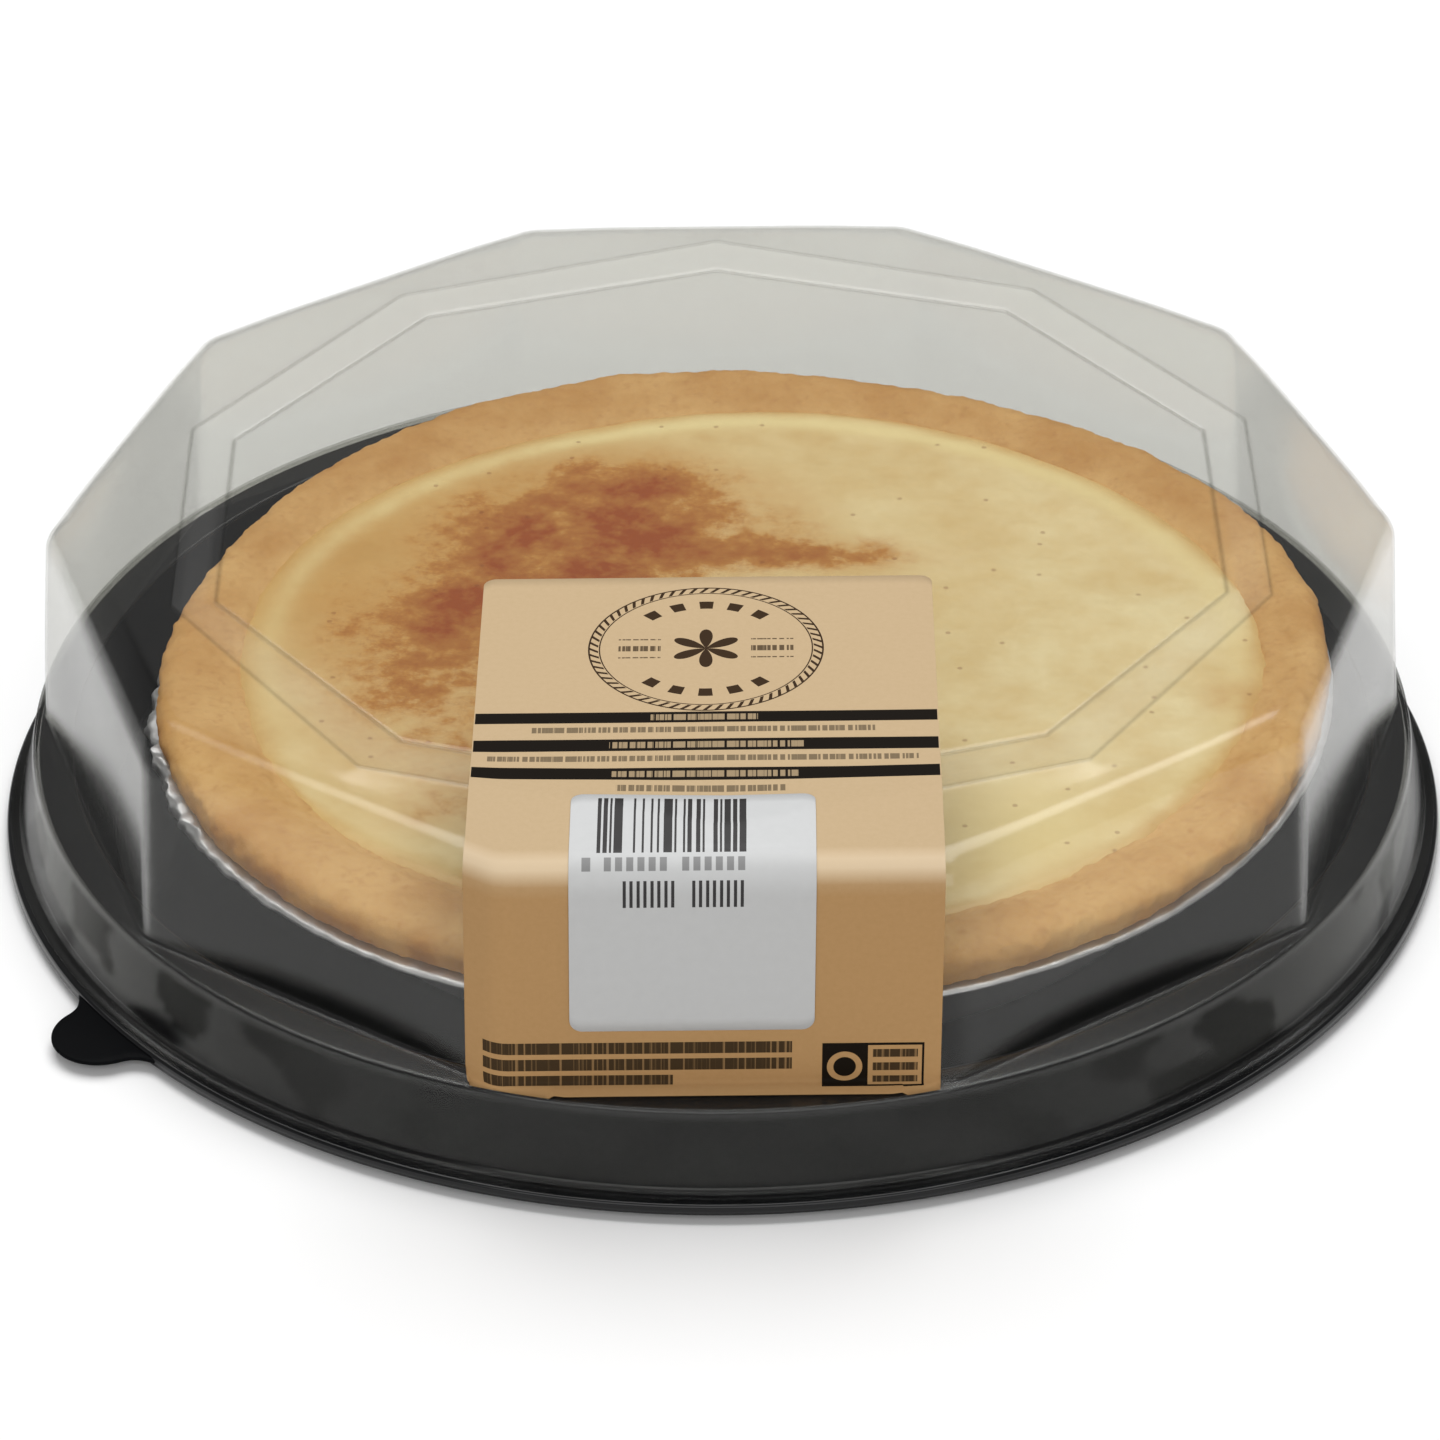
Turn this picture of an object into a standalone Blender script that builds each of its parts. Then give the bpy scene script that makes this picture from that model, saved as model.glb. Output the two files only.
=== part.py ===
"""Milk tart in its foil dish, packed on a black tray under a clear ten-sided dome lid.

All sizes are in millimetres and are turned into metres when a mesh is made.
+Z is up, the folded label is on the -Y side, the tray stands on z = 0.
Compass angles are measured from +Y towards +X.
"""
import math

import bpy

for old in list(bpy.data.objects):
    bpy.data.objects.remove(old, do_unlink=True)

MM = 0.001
GAP = 0.3            # clearance left between pieces that touch
SHARP_DEG = 28.0     # edges that turn more than this stay crisp

# Black tray
TRAY_WALL = 0.6
TRAY_FLOOR_R = 117.0
RING_TOP_Z = 18.9    # raised ring that carries the lid
RING_IN_R = 123.6
RING_OUT_R = 129.6
FLANGE_Z = 4.0
RIM_R = 136.7
TRAY_CORNERS = 64    # flat steps round the tray

# Lifting tab on the tray rim
TAB_ANGLE = -126.0
TAB_REACH = 147.4
TAB_HALF = 11.5
TAB_NOSE = 8.4       # radius of its rounded end
TAB_TOP_Z = 3.0
TAB_THICK = 0.8

# Clear lid
SIDES = 10
HALF_SIDE = 180.0 / SIDES   # degrees from the middle of a side to its corner
LID_STEPS = (0.0, 6.0, 12.0, 16.9, 18.0, 19.1, 24.0, 30.0)   # degrees, repeated for every side
LID_WALL = 0.5
PANEL_Z = 62.6       # sunk middle panel
BAND_Z = 63.3        # ridge round the panel
EDGE_Z = 62.6        # top of the rounded outer edge
# Distances of the uneven corners from the middle, from the back to the front, alike left and right
PANEL_CORNERS = (97.3, 97.5, 97.2, 96.9, 96.3, 96.3)
BAND_CORNERS = (108.3, 106.6, 105.7, 105.2, 108.2, 108.4)
WALL_TOP_A = 120.3   # distance of a wall from the middle, at the top
WALL_FOOT_A = 122.5  # the same at the foot
EDGE_ROUND = 5.8
EDGE_STEPS = 4       # steps of the rounded edge
CORNER_ROUND = 1.0   # extra rounding where two walls meet the top
CORNER_SPREAD = 5.0  # degrees over which that extra rounding fades
CORNER_CUT = 2.0     # length of wall taken up by a rounded upright corner
FOOT_Z = 19.7        # flat ledge at the foot of the walls
FOOT_ROUND = 0.8     # rounding at both edges of the ledge
SKIRT_TOP_R = 130.6
SKIRT_FOOT_R = 133.7
LIP_R = 135.7

# Foil dish and tart, set slightly to the right and back as packed
TART_X, TART_Y = 3.9, 2.6
DISH_CORNERS = 60    # flat steps round the dish, crust and custard
TIN_WALL = 0.4
TIN_FOOT_R = 90.0
TIN_MOUTH_R = 106.0
TIN_RIM_R = 111.0
TIN_RIM_Z = 24.8
TIN_PLEATS = 30
CRUST_FLOOR = 3.0    # thickness of pastry under the custard
CRUST_TOP_Z = 31.4
CRUST_R = 111.2
FILLING_R = 95.0
FILLING_Z = 29.2
# Uneven outlines as (waves round the tart, sine part, cosine part)
OUTER_WAVES = ((2, 0.65, 0.05), (3, -1.1, 0.1), (4, -1.0, -0.2), (5, -0.5, 0.1))
INNER_WAVES = ((1, 1.4, 1.75), (2, 0.0, -1.6), (5, 0.6, 0.35))

# Paper label folded over the front edge, and the sticker on it
LABEL_X0, LABEL_X1 = -44.6, 37.2   # at the folded edge
LABEL_LEAN = -0.0125               # sideways drift per length, because the sheet lies a little turned
LABEL_LEAN_FROM = 100.0            # length from the label's start at which the drift is nothing
LABEL_START_Y = 24.3
LABEL_BEND_Y = 82.0  # where the label starts to follow the bends of the front sides
LABEL_LEDGE = 3.2    # length lying on the ledge
LABEL_CORNER = 2.4
LABEL_COLUMNS = 15
PAPER = 0.3
STICKER_X0, STICKER_X1 = -26.8, 15.3
STICKER_START_Y = 98.6
STICKER_END_Z = 31.1
STICKER_CORNER = 2.2
STICKER_COLUMNS = 5
FOLD_STEP = 5.0      # spacing of the paper's points along the top
FOLD_TURNS = 5       # steps round the folded edge
BEND_STEPS = 6       # steps across a front corner of the lid
COLUMN_APART = 0.5   # least spacing of the paper's columns


def material(name, colour, roughness, metallic=0.0, alpha=1.0):
    """Plain Principled material for one piece."""
    mat = bpy.data.materials.new(name)
    mat.use_nodes = True
    shader = mat.node_tree.nodes["Principled BSDF"]
    shader.inputs["Base Color"].default_value = (*colour, 1.0)
    shader.inputs["Roughness"].default_value = roughness
    shader.inputs["Metallic"].default_value = metallic
    shader.inputs["Alpha"].default_value = alpha
    mat.diffuse_color = (*colour, alpha)
    return mat


def add_mesh(name, points, faces, mat):
    """Object from points in millimetres, with smooth faces and sharp edges kept by angle."""
    mesh = bpy.data.meshes.new(name)
    mesh.from_pydata([(x * MM, y * MM, z * MM) for x, y, z in points], [], faces)
    mesh.materials.append(mat)
    mesh.validate()
    mesh.shade_smooth()
    mesh.set_sharp_from_angle(angle=math.radians(SHARP_DEG))
    ob = bpy.data.objects.new(name, mesh)
    bpy.context.scene.collection.objects.link(ob)
    return ob


def offset_right(path, dist):
    """Path moved by dist to its right-hand side in the (radius, height) plane, with mitred corners."""
    moved = []
    for i, (r, z) in enumerate(path):
        normals = []
        for a, b in ((i - 1, i), (i, i + 1)):
            if a < 0 or b >= len(path):
                continue
            dr, dz = path[b][0] - path[a][0], path[b][1] - path[a][1]
            length = math.hypot(dr, dz)
            normals.append((dz / length, -dr / length))
        nr = sum(n[0] for n in normals)
        nz = sum(n[1] for n in normals)
        size = math.hypot(nr, nz)
        nr, nz = nr / size, nz / size
        mitre = dist / max(0.5, nr * normals[0][0] + nz * normals[0][1])
        if i == 0:
            nr, nz, mitre = 0.0, -1.0, dist
        moved.append((r + nr * mitre, z + nz * mitre))
    return moved


def turned(name, section, angles, mat, centre=(0.0, 0.0)):
    """Closed body whose section may change with the compass angle.

    section(angle) lists (radius, height) points from the axis at the top side, round the
    outside and back to the axis underneath; the first and last points lie on the axis.
    """
    loops = [section(a) for a in angles]
    count, rows = len(angles), len(loops[0])
    cx, cy = centre
    points = [(cx, cy, loops[0][0][1])]
    for k in range(1, rows - 1):
        for a, loop in zip(angles, loops):
            r, z = loop[k]
            t = math.radians(a)
            points.append((cx + r * math.sin(t), cy + r * math.cos(t), z))
    last = len(points)
    points.append((cx, cy, loops[0][-1][1]))
    faces = []
    for i in range(count):
        j = (i + 1) % count
        faces.append((0, 1 + j, 1 + i))
        for k in range(rows - 3):
            a, b = 1 + k * count, 1 + (k + 1) * count
            faces.append((a + i, a + j, b + j, b + i))
        a = 1 + (rows - 3) * count
        faces.append((last, a + i, a + j))
    return add_mesh(name, points, faces, mat)


def even_angles(count):
    """Compass angles of count equal steps round a circle."""
    return [360.0 * i / count for i in range(count)]


def decagon(angle, apothem):
    """Radius of the walls' even ten-sided outline, with corners at 18 + 36 n degrees that are rounded."""
    half = math.radians(HALF_SIDE)
    off = abs(angle % (2 * HALF_SIDE) - HALF_SIDE)   # degrees from the corner
    side = math.radians(HALF_SIDE - off)             # from the middle of the side
    if apothem * math.tan(side) > apothem * math.tan(half) - CORNER_CUT:
        rho = CORNER_CUT / math.tan(half)
        hub = (apothem - rho) / math.cos(half)
        t = math.radians(off)
        return hub * math.cos(t) + math.sqrt(rho * rho - (hub * math.sin(t)) ** 2)
    return apothem / math.cos(side)


def uneven_decagon(angle, corners):
    """Radius of a ten-sided outline whose corners, at 36 n degrees, have their own distances.

    A side is the straight line between two corners at distances p and q. The ray that turns by
    u from the first and by v from the second meets it at p q sin(u + v) / (p sin u + q sin v).
    """
    turn = 2 * HALF_SIDE
    from_back = abs((angle + 180.0) % 360.0 - 180.0)
    first = min(int(from_back / turn), len(corners) - 2)
    p, q = corners[first], corners[first + 1]
    u = math.radians(from_back - turn * first)
    v = math.radians(turn) - u
    return p * q * math.sin(u + v) / (p * math.sin(u) + q * math.sin(v))


def corner_weight(angle):
    """1 at an upright corner of the lid, falling to 0 along the sides."""
    off = abs(angle % (2 * HALF_SIDE) - HALF_SIDE)
    return math.exp(-(off / CORNER_SPREAD) ** 2)


WALL_LEAN = math.atan((WALL_FOOT_A - WALL_TOP_A) / (EDGE_Z - FOOT_Z))
EDGE_TURN = math.pi / 2 - WALL_LEAN   # angle turned from the flat top to the leaning wall


def edge_arc(rho, steps):
    """Rounded top edge of radius rho, as (distance of the side from the middle, height) points."""
    arc = []
    for step in range(steps + 1):
        t = EDGE_TURN * step / steps
        arc.append((WALL_TOP_A - rho + rho * math.sin(t), EDGE_Z - rho * (1.0 - math.cos(t))))
    return arc


def lid_outside(angle):
    """Outer face of the lid from the middle of the top to the lip."""
    path = [(0.0, PANEL_Z), (uneven_decagon(angle, PANEL_CORNERS), PANEL_Z),
            (uneven_decagon(angle, BAND_CORNERS), BAND_Z)]
    sides = edge_arc(EDGE_ROUND + CORNER_ROUND * corner_weight(angle), EDGE_STEPS)
    sides += [(WALL_FOOT_A, FOOT_Z + FOOT_ROUND),
              (WALL_FOOT_A + 0.3 * FOOT_ROUND, FOOT_Z + 0.3 * FOOT_ROUND),
              (WALL_FOOT_A + FOOT_ROUND, FOOT_Z)]
    path += [(decagon(angle, a), z) for a, z in sides]
    path += [(SKIRT_TOP_R - FOOT_ROUND, FOOT_Z),
             (SKIRT_TOP_R - 0.2 * FOOT_ROUND, FOOT_Z - 0.2 * FOOT_ROUND),
             (SKIRT_TOP_R, FOOT_Z - FOOT_ROUND),
             (SKIRT_FOOT_R, FLANGE_Z + 1.6),
             (SKIRT_FOOT_R + 0.6, FLANGE_Z + 0.9),
             (LIP_R, FLANGE_Z + 0.8)]
    return path


def lid_section(angle):
    """Lid sheet: its outer face and the same face moved in by the wall."""
    path = lid_outside(angle)
    return path + offset_right(path, LID_WALL)[::-1]


def tray_section(_angle):
    """Tray sheet, the same all round: floor, raised ring, then the flange with its turned-down rim."""
    path = [(0.0, TRAY_WALL), (TRAY_FLOOR_R - 2.0, TRAY_WALL), (TRAY_FLOOR_R, TRAY_WALL + 1.2),
            (RING_IN_R - 1.2, RING_TOP_Z - 1.6), (RING_IN_R, RING_TOP_Z - 0.3), (RING_IN_R + 1.2, RING_TOP_Z),
            (RING_OUT_R - 0.9, RING_TOP_Z), (RING_OUT_R, RING_TOP_Z - 0.9),
            (SKIRT_FOOT_R - 1.5, FLANGE_Z + 0.9), (SKIRT_FOOT_R - 0.5, FLANGE_Z),
            (RIM_R - 0.9, FLANGE_Z - 0.3), (RIM_R - 0.1, FLANGE_Z - 1.0), (RIM_R, FLANGE_Z - 2.0)]
    return path + offset_right(path, TRAY_WALL)[::-1]


def wander(angle, waves):
    """How far an uneven outline strays from its circle: the sum of its waves at this angle."""
    t = math.radians(angle)
    return sum(sine * math.sin(n * t) + cosine * math.cos(n * t) for n, sine, cosine in waves)


def tin_section(angle):
    """Foil sheet with shallow pleats down the wall and an uneven rim."""
    t = math.radians(angle)
    pleat = 0.14 * math.cos(TIN_PLEATS * t)
    ragged = 0.2 * math.sin(17 * t)
    floor = TRAY_WALL + GAP + TIN_WALL
    path = [(0.0, floor), (TIN_FOOT_R - 1.5, floor), (TIN_FOOT_R, floor + 1.5),
            (TIN_MOUTH_R + pleat, TIN_RIM_Z - 0.8), (TIN_MOUTH_R + 0.9, TIN_RIM_Z),
            (TIN_RIM_R + wander(angle, OUTER_WAVES) + ragged, TIN_RIM_Z + 0.4 * ragged)]
    return path + offset_right(path, TIN_WALL)[::-1]


def crust_section(angle):
    """Pastry case with a thick rim whose height and reach are uneven."""
    t = math.radians(angle)
    lift = 0.3 * math.sin(2 * t + 0.6) + 0.2 * math.sin(5 * t) + 0.15 * math.sin(9 * t + 2.0)
    outer = CRUST_R + wander(angle, OUTER_WAVES)
    inner = FILLING_R + wander(angle, INNER_WAVES)
    floor = TRAY_WALL + GAP + TIN_WALL + GAP
    over_tin = TIN_RIM_Z + GAP + 0.25
    return [(0.0, floor + CRUST_FLOOR), (TIN_FOOT_R - 4.5, floor + CRUST_FLOOR),
            (inner - 2.0, FILLING_Z - 3.0), (inner, FILLING_Z - 0.2),
            (inner + 2.5, FILLING_Z + 0.6 + 0.4 * lift),
            (0.5 * (inner + outer), CRUST_TOP_Z - 0.3 + lift), (outer - 4.0, CRUST_TOP_Z + lift),
            (outer - 1.2, CRUST_TOP_Z - 0.9 + lift), (outer, CRUST_TOP_Z - 2.4),
            (outer - 0.3, over_tin), (TIN_MOUTH_R + 0.6, over_tin),
            (TIN_MOUTH_R - 0.7, TIN_RIM_Z - 0.7), (TIN_FOOT_R - 0.5, floor + 1.4), (TIN_FOOT_R - 2.0, floor),
            (0.0, floor)]


def filling_section(angle):
    """Custard with a nearly flat top that thins at its edge, filling the pastry case."""
    floor = TRAY_WALL + GAP + TIN_WALL + GAP + CRUST_FLOOR + GAP
    edge = FILLING_R + wander(angle, INNER_WAVES) - GAP
    swell = 0.25 * math.sin(3 * math.radians(angle))
    return [(0.0, FILLING_Z + 0.3), (45.0, FILLING_Z + 0.2 + swell), (80.0, FILLING_Z + 0.3 + swell),
            (edge - 5.0, FILLING_Z + 0.2), (edge - 1.0, FILLING_Z), (edge - 0.2, FILLING_Z - 0.4),
            (edge - 2.1, FILLING_Z - 3.0), (TIN_FOOT_R - 5.0, floor), (0.0, floor)]


def smooth_step(x):
    """0 below 0, 1 above 1, and 3 x^2 - 2 x^3 between."""
    x = min(1.0, max(0.0, x))
    return x * x * (3.0 - 2.0 * x)


def lid_top_height(x, y):
    """Height of the lid's top face, following the panel, the ridge and the slope to the edge."""
    angle, r = math.degrees(math.atan2(x, y)), math.hypot(x, y)
    path = lid_outside(angle)
    for (r0, z0), (r1, z1) in zip(path[:4], path[1:4]):
        if r <= r1:
            return z0 + (z1 - z0) * (r - r0) / (r1 - r0)
    return EDGE_Z


def front_line(x, apothem):
    """Distance in -Y of the front sides of the rounded decagon, at sideways position x."""
    half, turn = math.radians(HALF_SIDE), math.radians(2 * HALF_SIDE)
    rho = CORNER_CUT / math.tan(half)
    away = abs(x) - (apothem - rho) * math.tan(half)
    if away <= 0.0:
        return apothem
    if away < rho * math.sin(turn):
        return apothem - rho + math.sqrt(rho * rho - away * away)
    return (apothem - abs(x) * math.sin(turn)) / math.cos(turn)


def fold_line():
    """Centre line of the folded label: (distance forward, height, developed length, on the top) points."""
    flat_end = WALL_TOP_A - EDGE_ROUND
    pts = []
    y = LABEL_START_Y
    while y < flat_end:
        pts.append((y, lid_top_height(0.0, -y), True))
        y += FOLD_STEP
    edge = edge_arc(EDGE_ROUND, FOLD_TURNS)
    pts += [(a, z, False) for a, z in edge]
    top_a, top_z = edge[-1]
    for part in (0.3, 0.65, 1.0):
        pts.append((top_a + (WALL_FOOT_A - top_a) * part, top_z + (FOOT_Z + 1.6 - top_z) * part, False))
    pts += [(WALL_FOOT_A + 0.5, FOOT_Z + 0.5, False), (WALL_FOOT_A + 1.6, FOOT_Z + 0.05, False),
            (WALL_FOOT_A + FOOT_ROUND + LABEL_LEDGE, FOOT_Z, False)]
    line, total = [], 0.0
    for i, (fy, z, flat) in enumerate(pts):
        if i:
            total += math.hypot(fy - pts[i - 1][0], z - pts[i - 1][1])
        line.append((fy, z, total, flat))
    return line


FOLD = fold_line()


def on_fold(x, v):
    """Point of the lid's outside under the label, at sideways position x and developed length v."""
    v = min(max(v, 0.0), FOLD[-1][2])
    for p, q in zip(FOLD[:-1], FOLD[1:]):
        if v <= q[2] + 1e-9:
            f = (v - p[2]) / (q[2] - p[2])
            fy, z = p[0] + (q[0] - p[0]) * f, p[1] + (q[1] - p[1]) * f
            on_top = p[3] and q[3]
            break
    wall = min(max(fy, WALL_TOP_A), WALL_FOOT_A + FOOT_ROUND)
    bend = wall - front_line(x, wall)
    y = -(fy - bend * smooth_step((fy - LABEL_BEND_Y) / (WALL_TOP_A - LABEL_BEND_Y)))
    if on_top:
        z = lid_top_height(x, y)
    if fy > WALL_FOOT_A + 0.4:
        y = -min(-y, math.sqrt((SKIRT_TOP_R - 1.0) ** 2 - x * x))
    return (x, y, z)


def fold_length_at_distance(forward):
    """Developed length where the fold line reaches a distance forward."""
    for p, q in zip(FOLD[:-1], FOLD[1:]):
        if q[0] >= forward:
            return p[2] + (q[2] - p[2]) * (forward - p[0]) / (q[0] - p[0])


def fold_length_at_height(height):
    """Developed length where the fold line, past the edge, comes down to a height."""
    for p, q in zip(FOLD[:-1], FOLD[1:]):
        if q[0] > WALL_TOP_A - 1.0 and q[1] <= height:
            return p[2] + (q[2] - p[2]) * (p[1] - height) / (p[1] - q[1])


def paper_point(x, v, lift):
    """Point at height lift over the folded lid face, along the face's normal."""
    reach = 0.6   # spacing of the points that give the normal
    ax, bx = on_fold(x - reach, v), on_fold(x + reach, v)
    av, bv = on_fold(x, v - reach), on_fold(x, v + reach)
    du = [b - a for a, b in zip(ax, bx)]
    dv = [b - a for a, b in zip(av, bv)]
    n = (dv[1] * du[2] - dv[2] * du[1], dv[2] * du[0] - dv[0] * du[2], dv[0] * du[1] - dv[1] * du[0])
    size = math.sqrt(sum(c * c for c in n))
    return tuple(c + m / size * lift for c, m in zip(on_fold(x, v), n))


def bend_columns():
    """Sideways positions where the two front corners of the lid bend a sheet that lies over them."""
    half = math.radians(HALF_SIDE)
    rho = CORNER_CUT / math.tan(half)
    first = (WALL_TOP_A - rho) * math.tan(half)
    last = (WALL_FOOT_A - rho) * math.tan(half) + rho * math.sin(2 * half)
    steps = [first + (last - first) * i / BEND_STEPS for i in range(BEND_STEPS + 1)]
    return [-s for s in steps] + steps


def paper_piece(name, x0, x1, v0, v1, columns, lift, corner, mat):
    """Thin sheet with rounded corners lying at height lift over the folded lid face."""
    rows = [p[2] for p in FOLD if v0 + corner + 0.6 < p[2] < v1 - corner - 0.2]
    inner = bend_columns()
    even = [x0 + corner + (x1 - x0 - 2 * corner) * i / columns for i in range(1, columns)]
    inner += [x for x in even if min(abs(x - b) for b in inner) > COLUMN_APART]
    xs = [x0 + corner * f for f in (0.0, 0.3, 1.0)]
    xs += sorted(x for x in inner if x0 + corner + COLUMN_APART < x < x1 - corner - COLUMN_APART)
    xs += [x1 - corner * f for f in (1.0, 0.3, 0.0)]
    under, over = [], []
    for x in xs:
        inset = corner - math.sqrt(corner ** 2 - max(0.0, corner - min(x - x0, x1 - x)) ** 2)
        for v in [v0 + inset] + rows + [v1 - inset]:
            leant = x + LABEL_LEAN * (v - LABEL_LEAN_FROM)
            under.append(paper_point(leant, v, lift))
            over.append(paper_point(leant, v, lift + PAPER))
    nv, nu, count = len(rows) + 2, len(xs), len(under)
    faces = []
    for i in range(nu - 1):
        for j in range(nv - 1):
            a, b, c, d = i * nv + j, i * nv + j + 1, (i + 1) * nv + j + 1, (i + 1) * nv + j
            faces.append((count + a, count + b, count + c, count + d))
            faces.append((a, d, c, b))
    rim = list(range(nv)) + [i * nv + nv - 1 for i in range(1, nu)]
    rim += [(nu - 1) * nv + j for j in range(nv - 2, -1, -1)] + [i * nv for i in range(nu - 2, 0, -1)]
    for a, b in zip(rim, rim[1:] + rim[:1]):
        faces.append((a, b, count + b, count + a))
    return add_mesh(name, under + over, faces, mat)


def tray_tab(mat):
    """Rounded lifting tab that grows out of the tray rim."""
    inside = RIM_R - 3.4   # buried in the flange, so that the two join
    side = [(-TAB_HALF - 2.5, inside), (-TAB_HALF, RIM_R + 0.9)]
    nose = []
    for step in range(9):
        t = math.radians(180.0 - 22.5 * step)
        nose.append((TAB_NOSE * math.cos(t), TAB_REACH - TAB_NOSE + TAB_NOSE * math.sin(t)))
    outline = side + nose + [(-s, r) for s, r in side[::-1]]
    turn = math.radians(TAB_ANGLE)
    across, along = math.cos(turn), math.sin(turn)
    points = []
    for z in (TAB_TOP_Z - TAB_THICK, TAB_TOP_Z):
        for s, r in outline:
            points.append((s * across + r * along, r * across - s * along, z))
    n = len(outline)
    faces = [tuple(range(n)), tuple(range(2 * n - 1, n - 1, -1))]
    faces += [(i, i + n, (i + 1) % n + n, (i + 1) % n) for i in range(n)]
    return add_mesh("tab_blank", points, faces, mat)


black = material("tray_black", (0.012, 0.012, 0.013), 0.3)
clear = material("lid_clear", (0.80, 0.81, 0.80), 0.08, alpha=0.3)
foil = material("tin_foil", (0.72, 0.72, 0.72), 0.3, metallic=1.0)
pastry = material("baked_pastry", (0.58, 0.30, 0.10), 0.75)
set_custard = material("milk_custard", (0.72, 0.52, 0.24), 0.6)
kraft = material("kraft_paper", (0.50, 0.33, 0.16), 0.85)
white_paper = material("white_paper", (0.74, 0.74, 0.73), 0.7)

tray = turned("base_tray", tray_section, even_angles(TRAY_CORNERS), black)
tab = tray_tab(black)
join = tray.modifiers.new("tab", "BOOLEAN")
join.operation = "UNION"
join.solver = "EXACT"
join.object = tab
tab.hide_render = True
tab.display_type = "WIRE"

lid_angles = [2 * HALF_SIDE * k + step for k in range(SIDES) for step in LID_STEPS]
turned("lid", lid_section, lid_angles, clear)

dish_angles = even_angles(DISH_CORNERS)
turned("foil_tin", tin_section, dish_angles, foil, (TART_X, TART_Y))
turned("pastry_crust", crust_section, dish_angles, pastry, (TART_X, TART_Y))
turned("custard", filling_section, dish_angles, set_custard, (TART_X, TART_Y))

paper_piece("label", LABEL_X0, LABEL_X1, 0.0, FOLD[-1][2], LABEL_COLUMNS, GAP, LABEL_CORNER, kraft)
sticker_v0 = fold_length_at_distance(STICKER_START_Y)
sticker_v1 = fold_length_at_height(STICKER_END_Z)
paper_piece("price_sticker", STICKER_X0, STICKER_X1, sticker_v0, sticker_v1, STICKER_COLUMNS,
            2 * GAP + PAPER, STICKER_CORNER, white_paper)
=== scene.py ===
import math

import bpy
import numpy as np
from mathutils import Matrix, Vector


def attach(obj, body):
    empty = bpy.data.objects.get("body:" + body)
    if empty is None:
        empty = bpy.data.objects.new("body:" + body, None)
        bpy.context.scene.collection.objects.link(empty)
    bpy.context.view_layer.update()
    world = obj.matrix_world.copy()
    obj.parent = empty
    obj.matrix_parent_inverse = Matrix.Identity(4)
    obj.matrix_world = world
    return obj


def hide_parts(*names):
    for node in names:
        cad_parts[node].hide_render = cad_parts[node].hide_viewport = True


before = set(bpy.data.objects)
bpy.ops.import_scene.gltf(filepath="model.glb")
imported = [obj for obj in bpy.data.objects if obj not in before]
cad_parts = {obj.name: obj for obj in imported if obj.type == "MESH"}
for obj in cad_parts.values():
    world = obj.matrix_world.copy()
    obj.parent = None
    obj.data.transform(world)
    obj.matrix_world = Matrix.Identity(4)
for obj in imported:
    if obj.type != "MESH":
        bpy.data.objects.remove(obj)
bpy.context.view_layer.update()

# Camera
# A long lens looks down on the label side from about a metre away. The lens, distance and
# angles were worked out from the ten corners of the lid and the round rim of the tray.
MM = 0.001
VIEW_DOWN = math.radians(32.19)
VIEW_TURN = math.radians(0.25)
VIEW_ROLL = math.radians(-0.43)
VIEW_DISTANCE = 1131.44
LOOK_AT_HEIGHT = 15.55
SENSOR_WIDTH, LENS_LENGTH = 36.0, 148.34
LENS_SHIFT_X, LENS_SHIFT_Y = -0.0013, 0.0045

forward = Vector((math.sin(VIEW_TURN) * math.cos(VIEW_DOWN),
                  math.cos(VIEW_TURN) * math.cos(VIEW_DOWN),
                  -math.sin(VIEW_DOWN)))
level = Vector((math.cos(VIEW_TURN), -math.sin(VIEW_TURN), 0.0))
upward = level.cross(forward)
right = math.cos(VIEW_ROLL) * level + math.sin(VIEW_ROLL) * upward
above = -math.sin(VIEW_ROLL) * level + math.cos(VIEW_ROLL) * upward
lens = bpy.data.cameras.new("photo_camera")
lens.sensor_width, lens.lens = SENSOR_WIDTH, LENS_LENGTH
lens.shift_x, lens.shift_y = LENS_SHIFT_X, LENS_SHIFT_Y
camera = bpy.data.objects.new("photo_camera", lens)
bpy.context.scene.collection.objects.link(camera)
stand = Vector((0.0, 0.0, LOOK_AT_HEIGHT * MM)) - forward * VIEW_DISTANCE * MM
facing = Matrix((right, above, -forward)).transposed().to_4x4()
camera.matrix_world = Matrix.Translation(stand) @ facing
bpy.context.scene.camera = camera

# Black tray
# One sheet of black polystyrene, vacuum formed with a raised ring that the lid snaps over and
# a flat flange. It is glossy, with faint waves and finger smudges left by handling.
TRAY_SHEET = 0.6
# The tray's upper face as (radius, height): floor, ring, flange and rim, and each corner's rounding
TRAY_PATH = [(0.0, 0.6), (116.6, 0.6), (122.95, 18.9), (129.45, 18.9), (132.4, 4.0), (136.4, 3.75),
             (136.7, 2.0)]
TRAY_ROUNDING = [0.0, 2.0, 1.3, 0.9, 1.2, 0.8, 0.0]
TRAY_STEPS = 480


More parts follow.
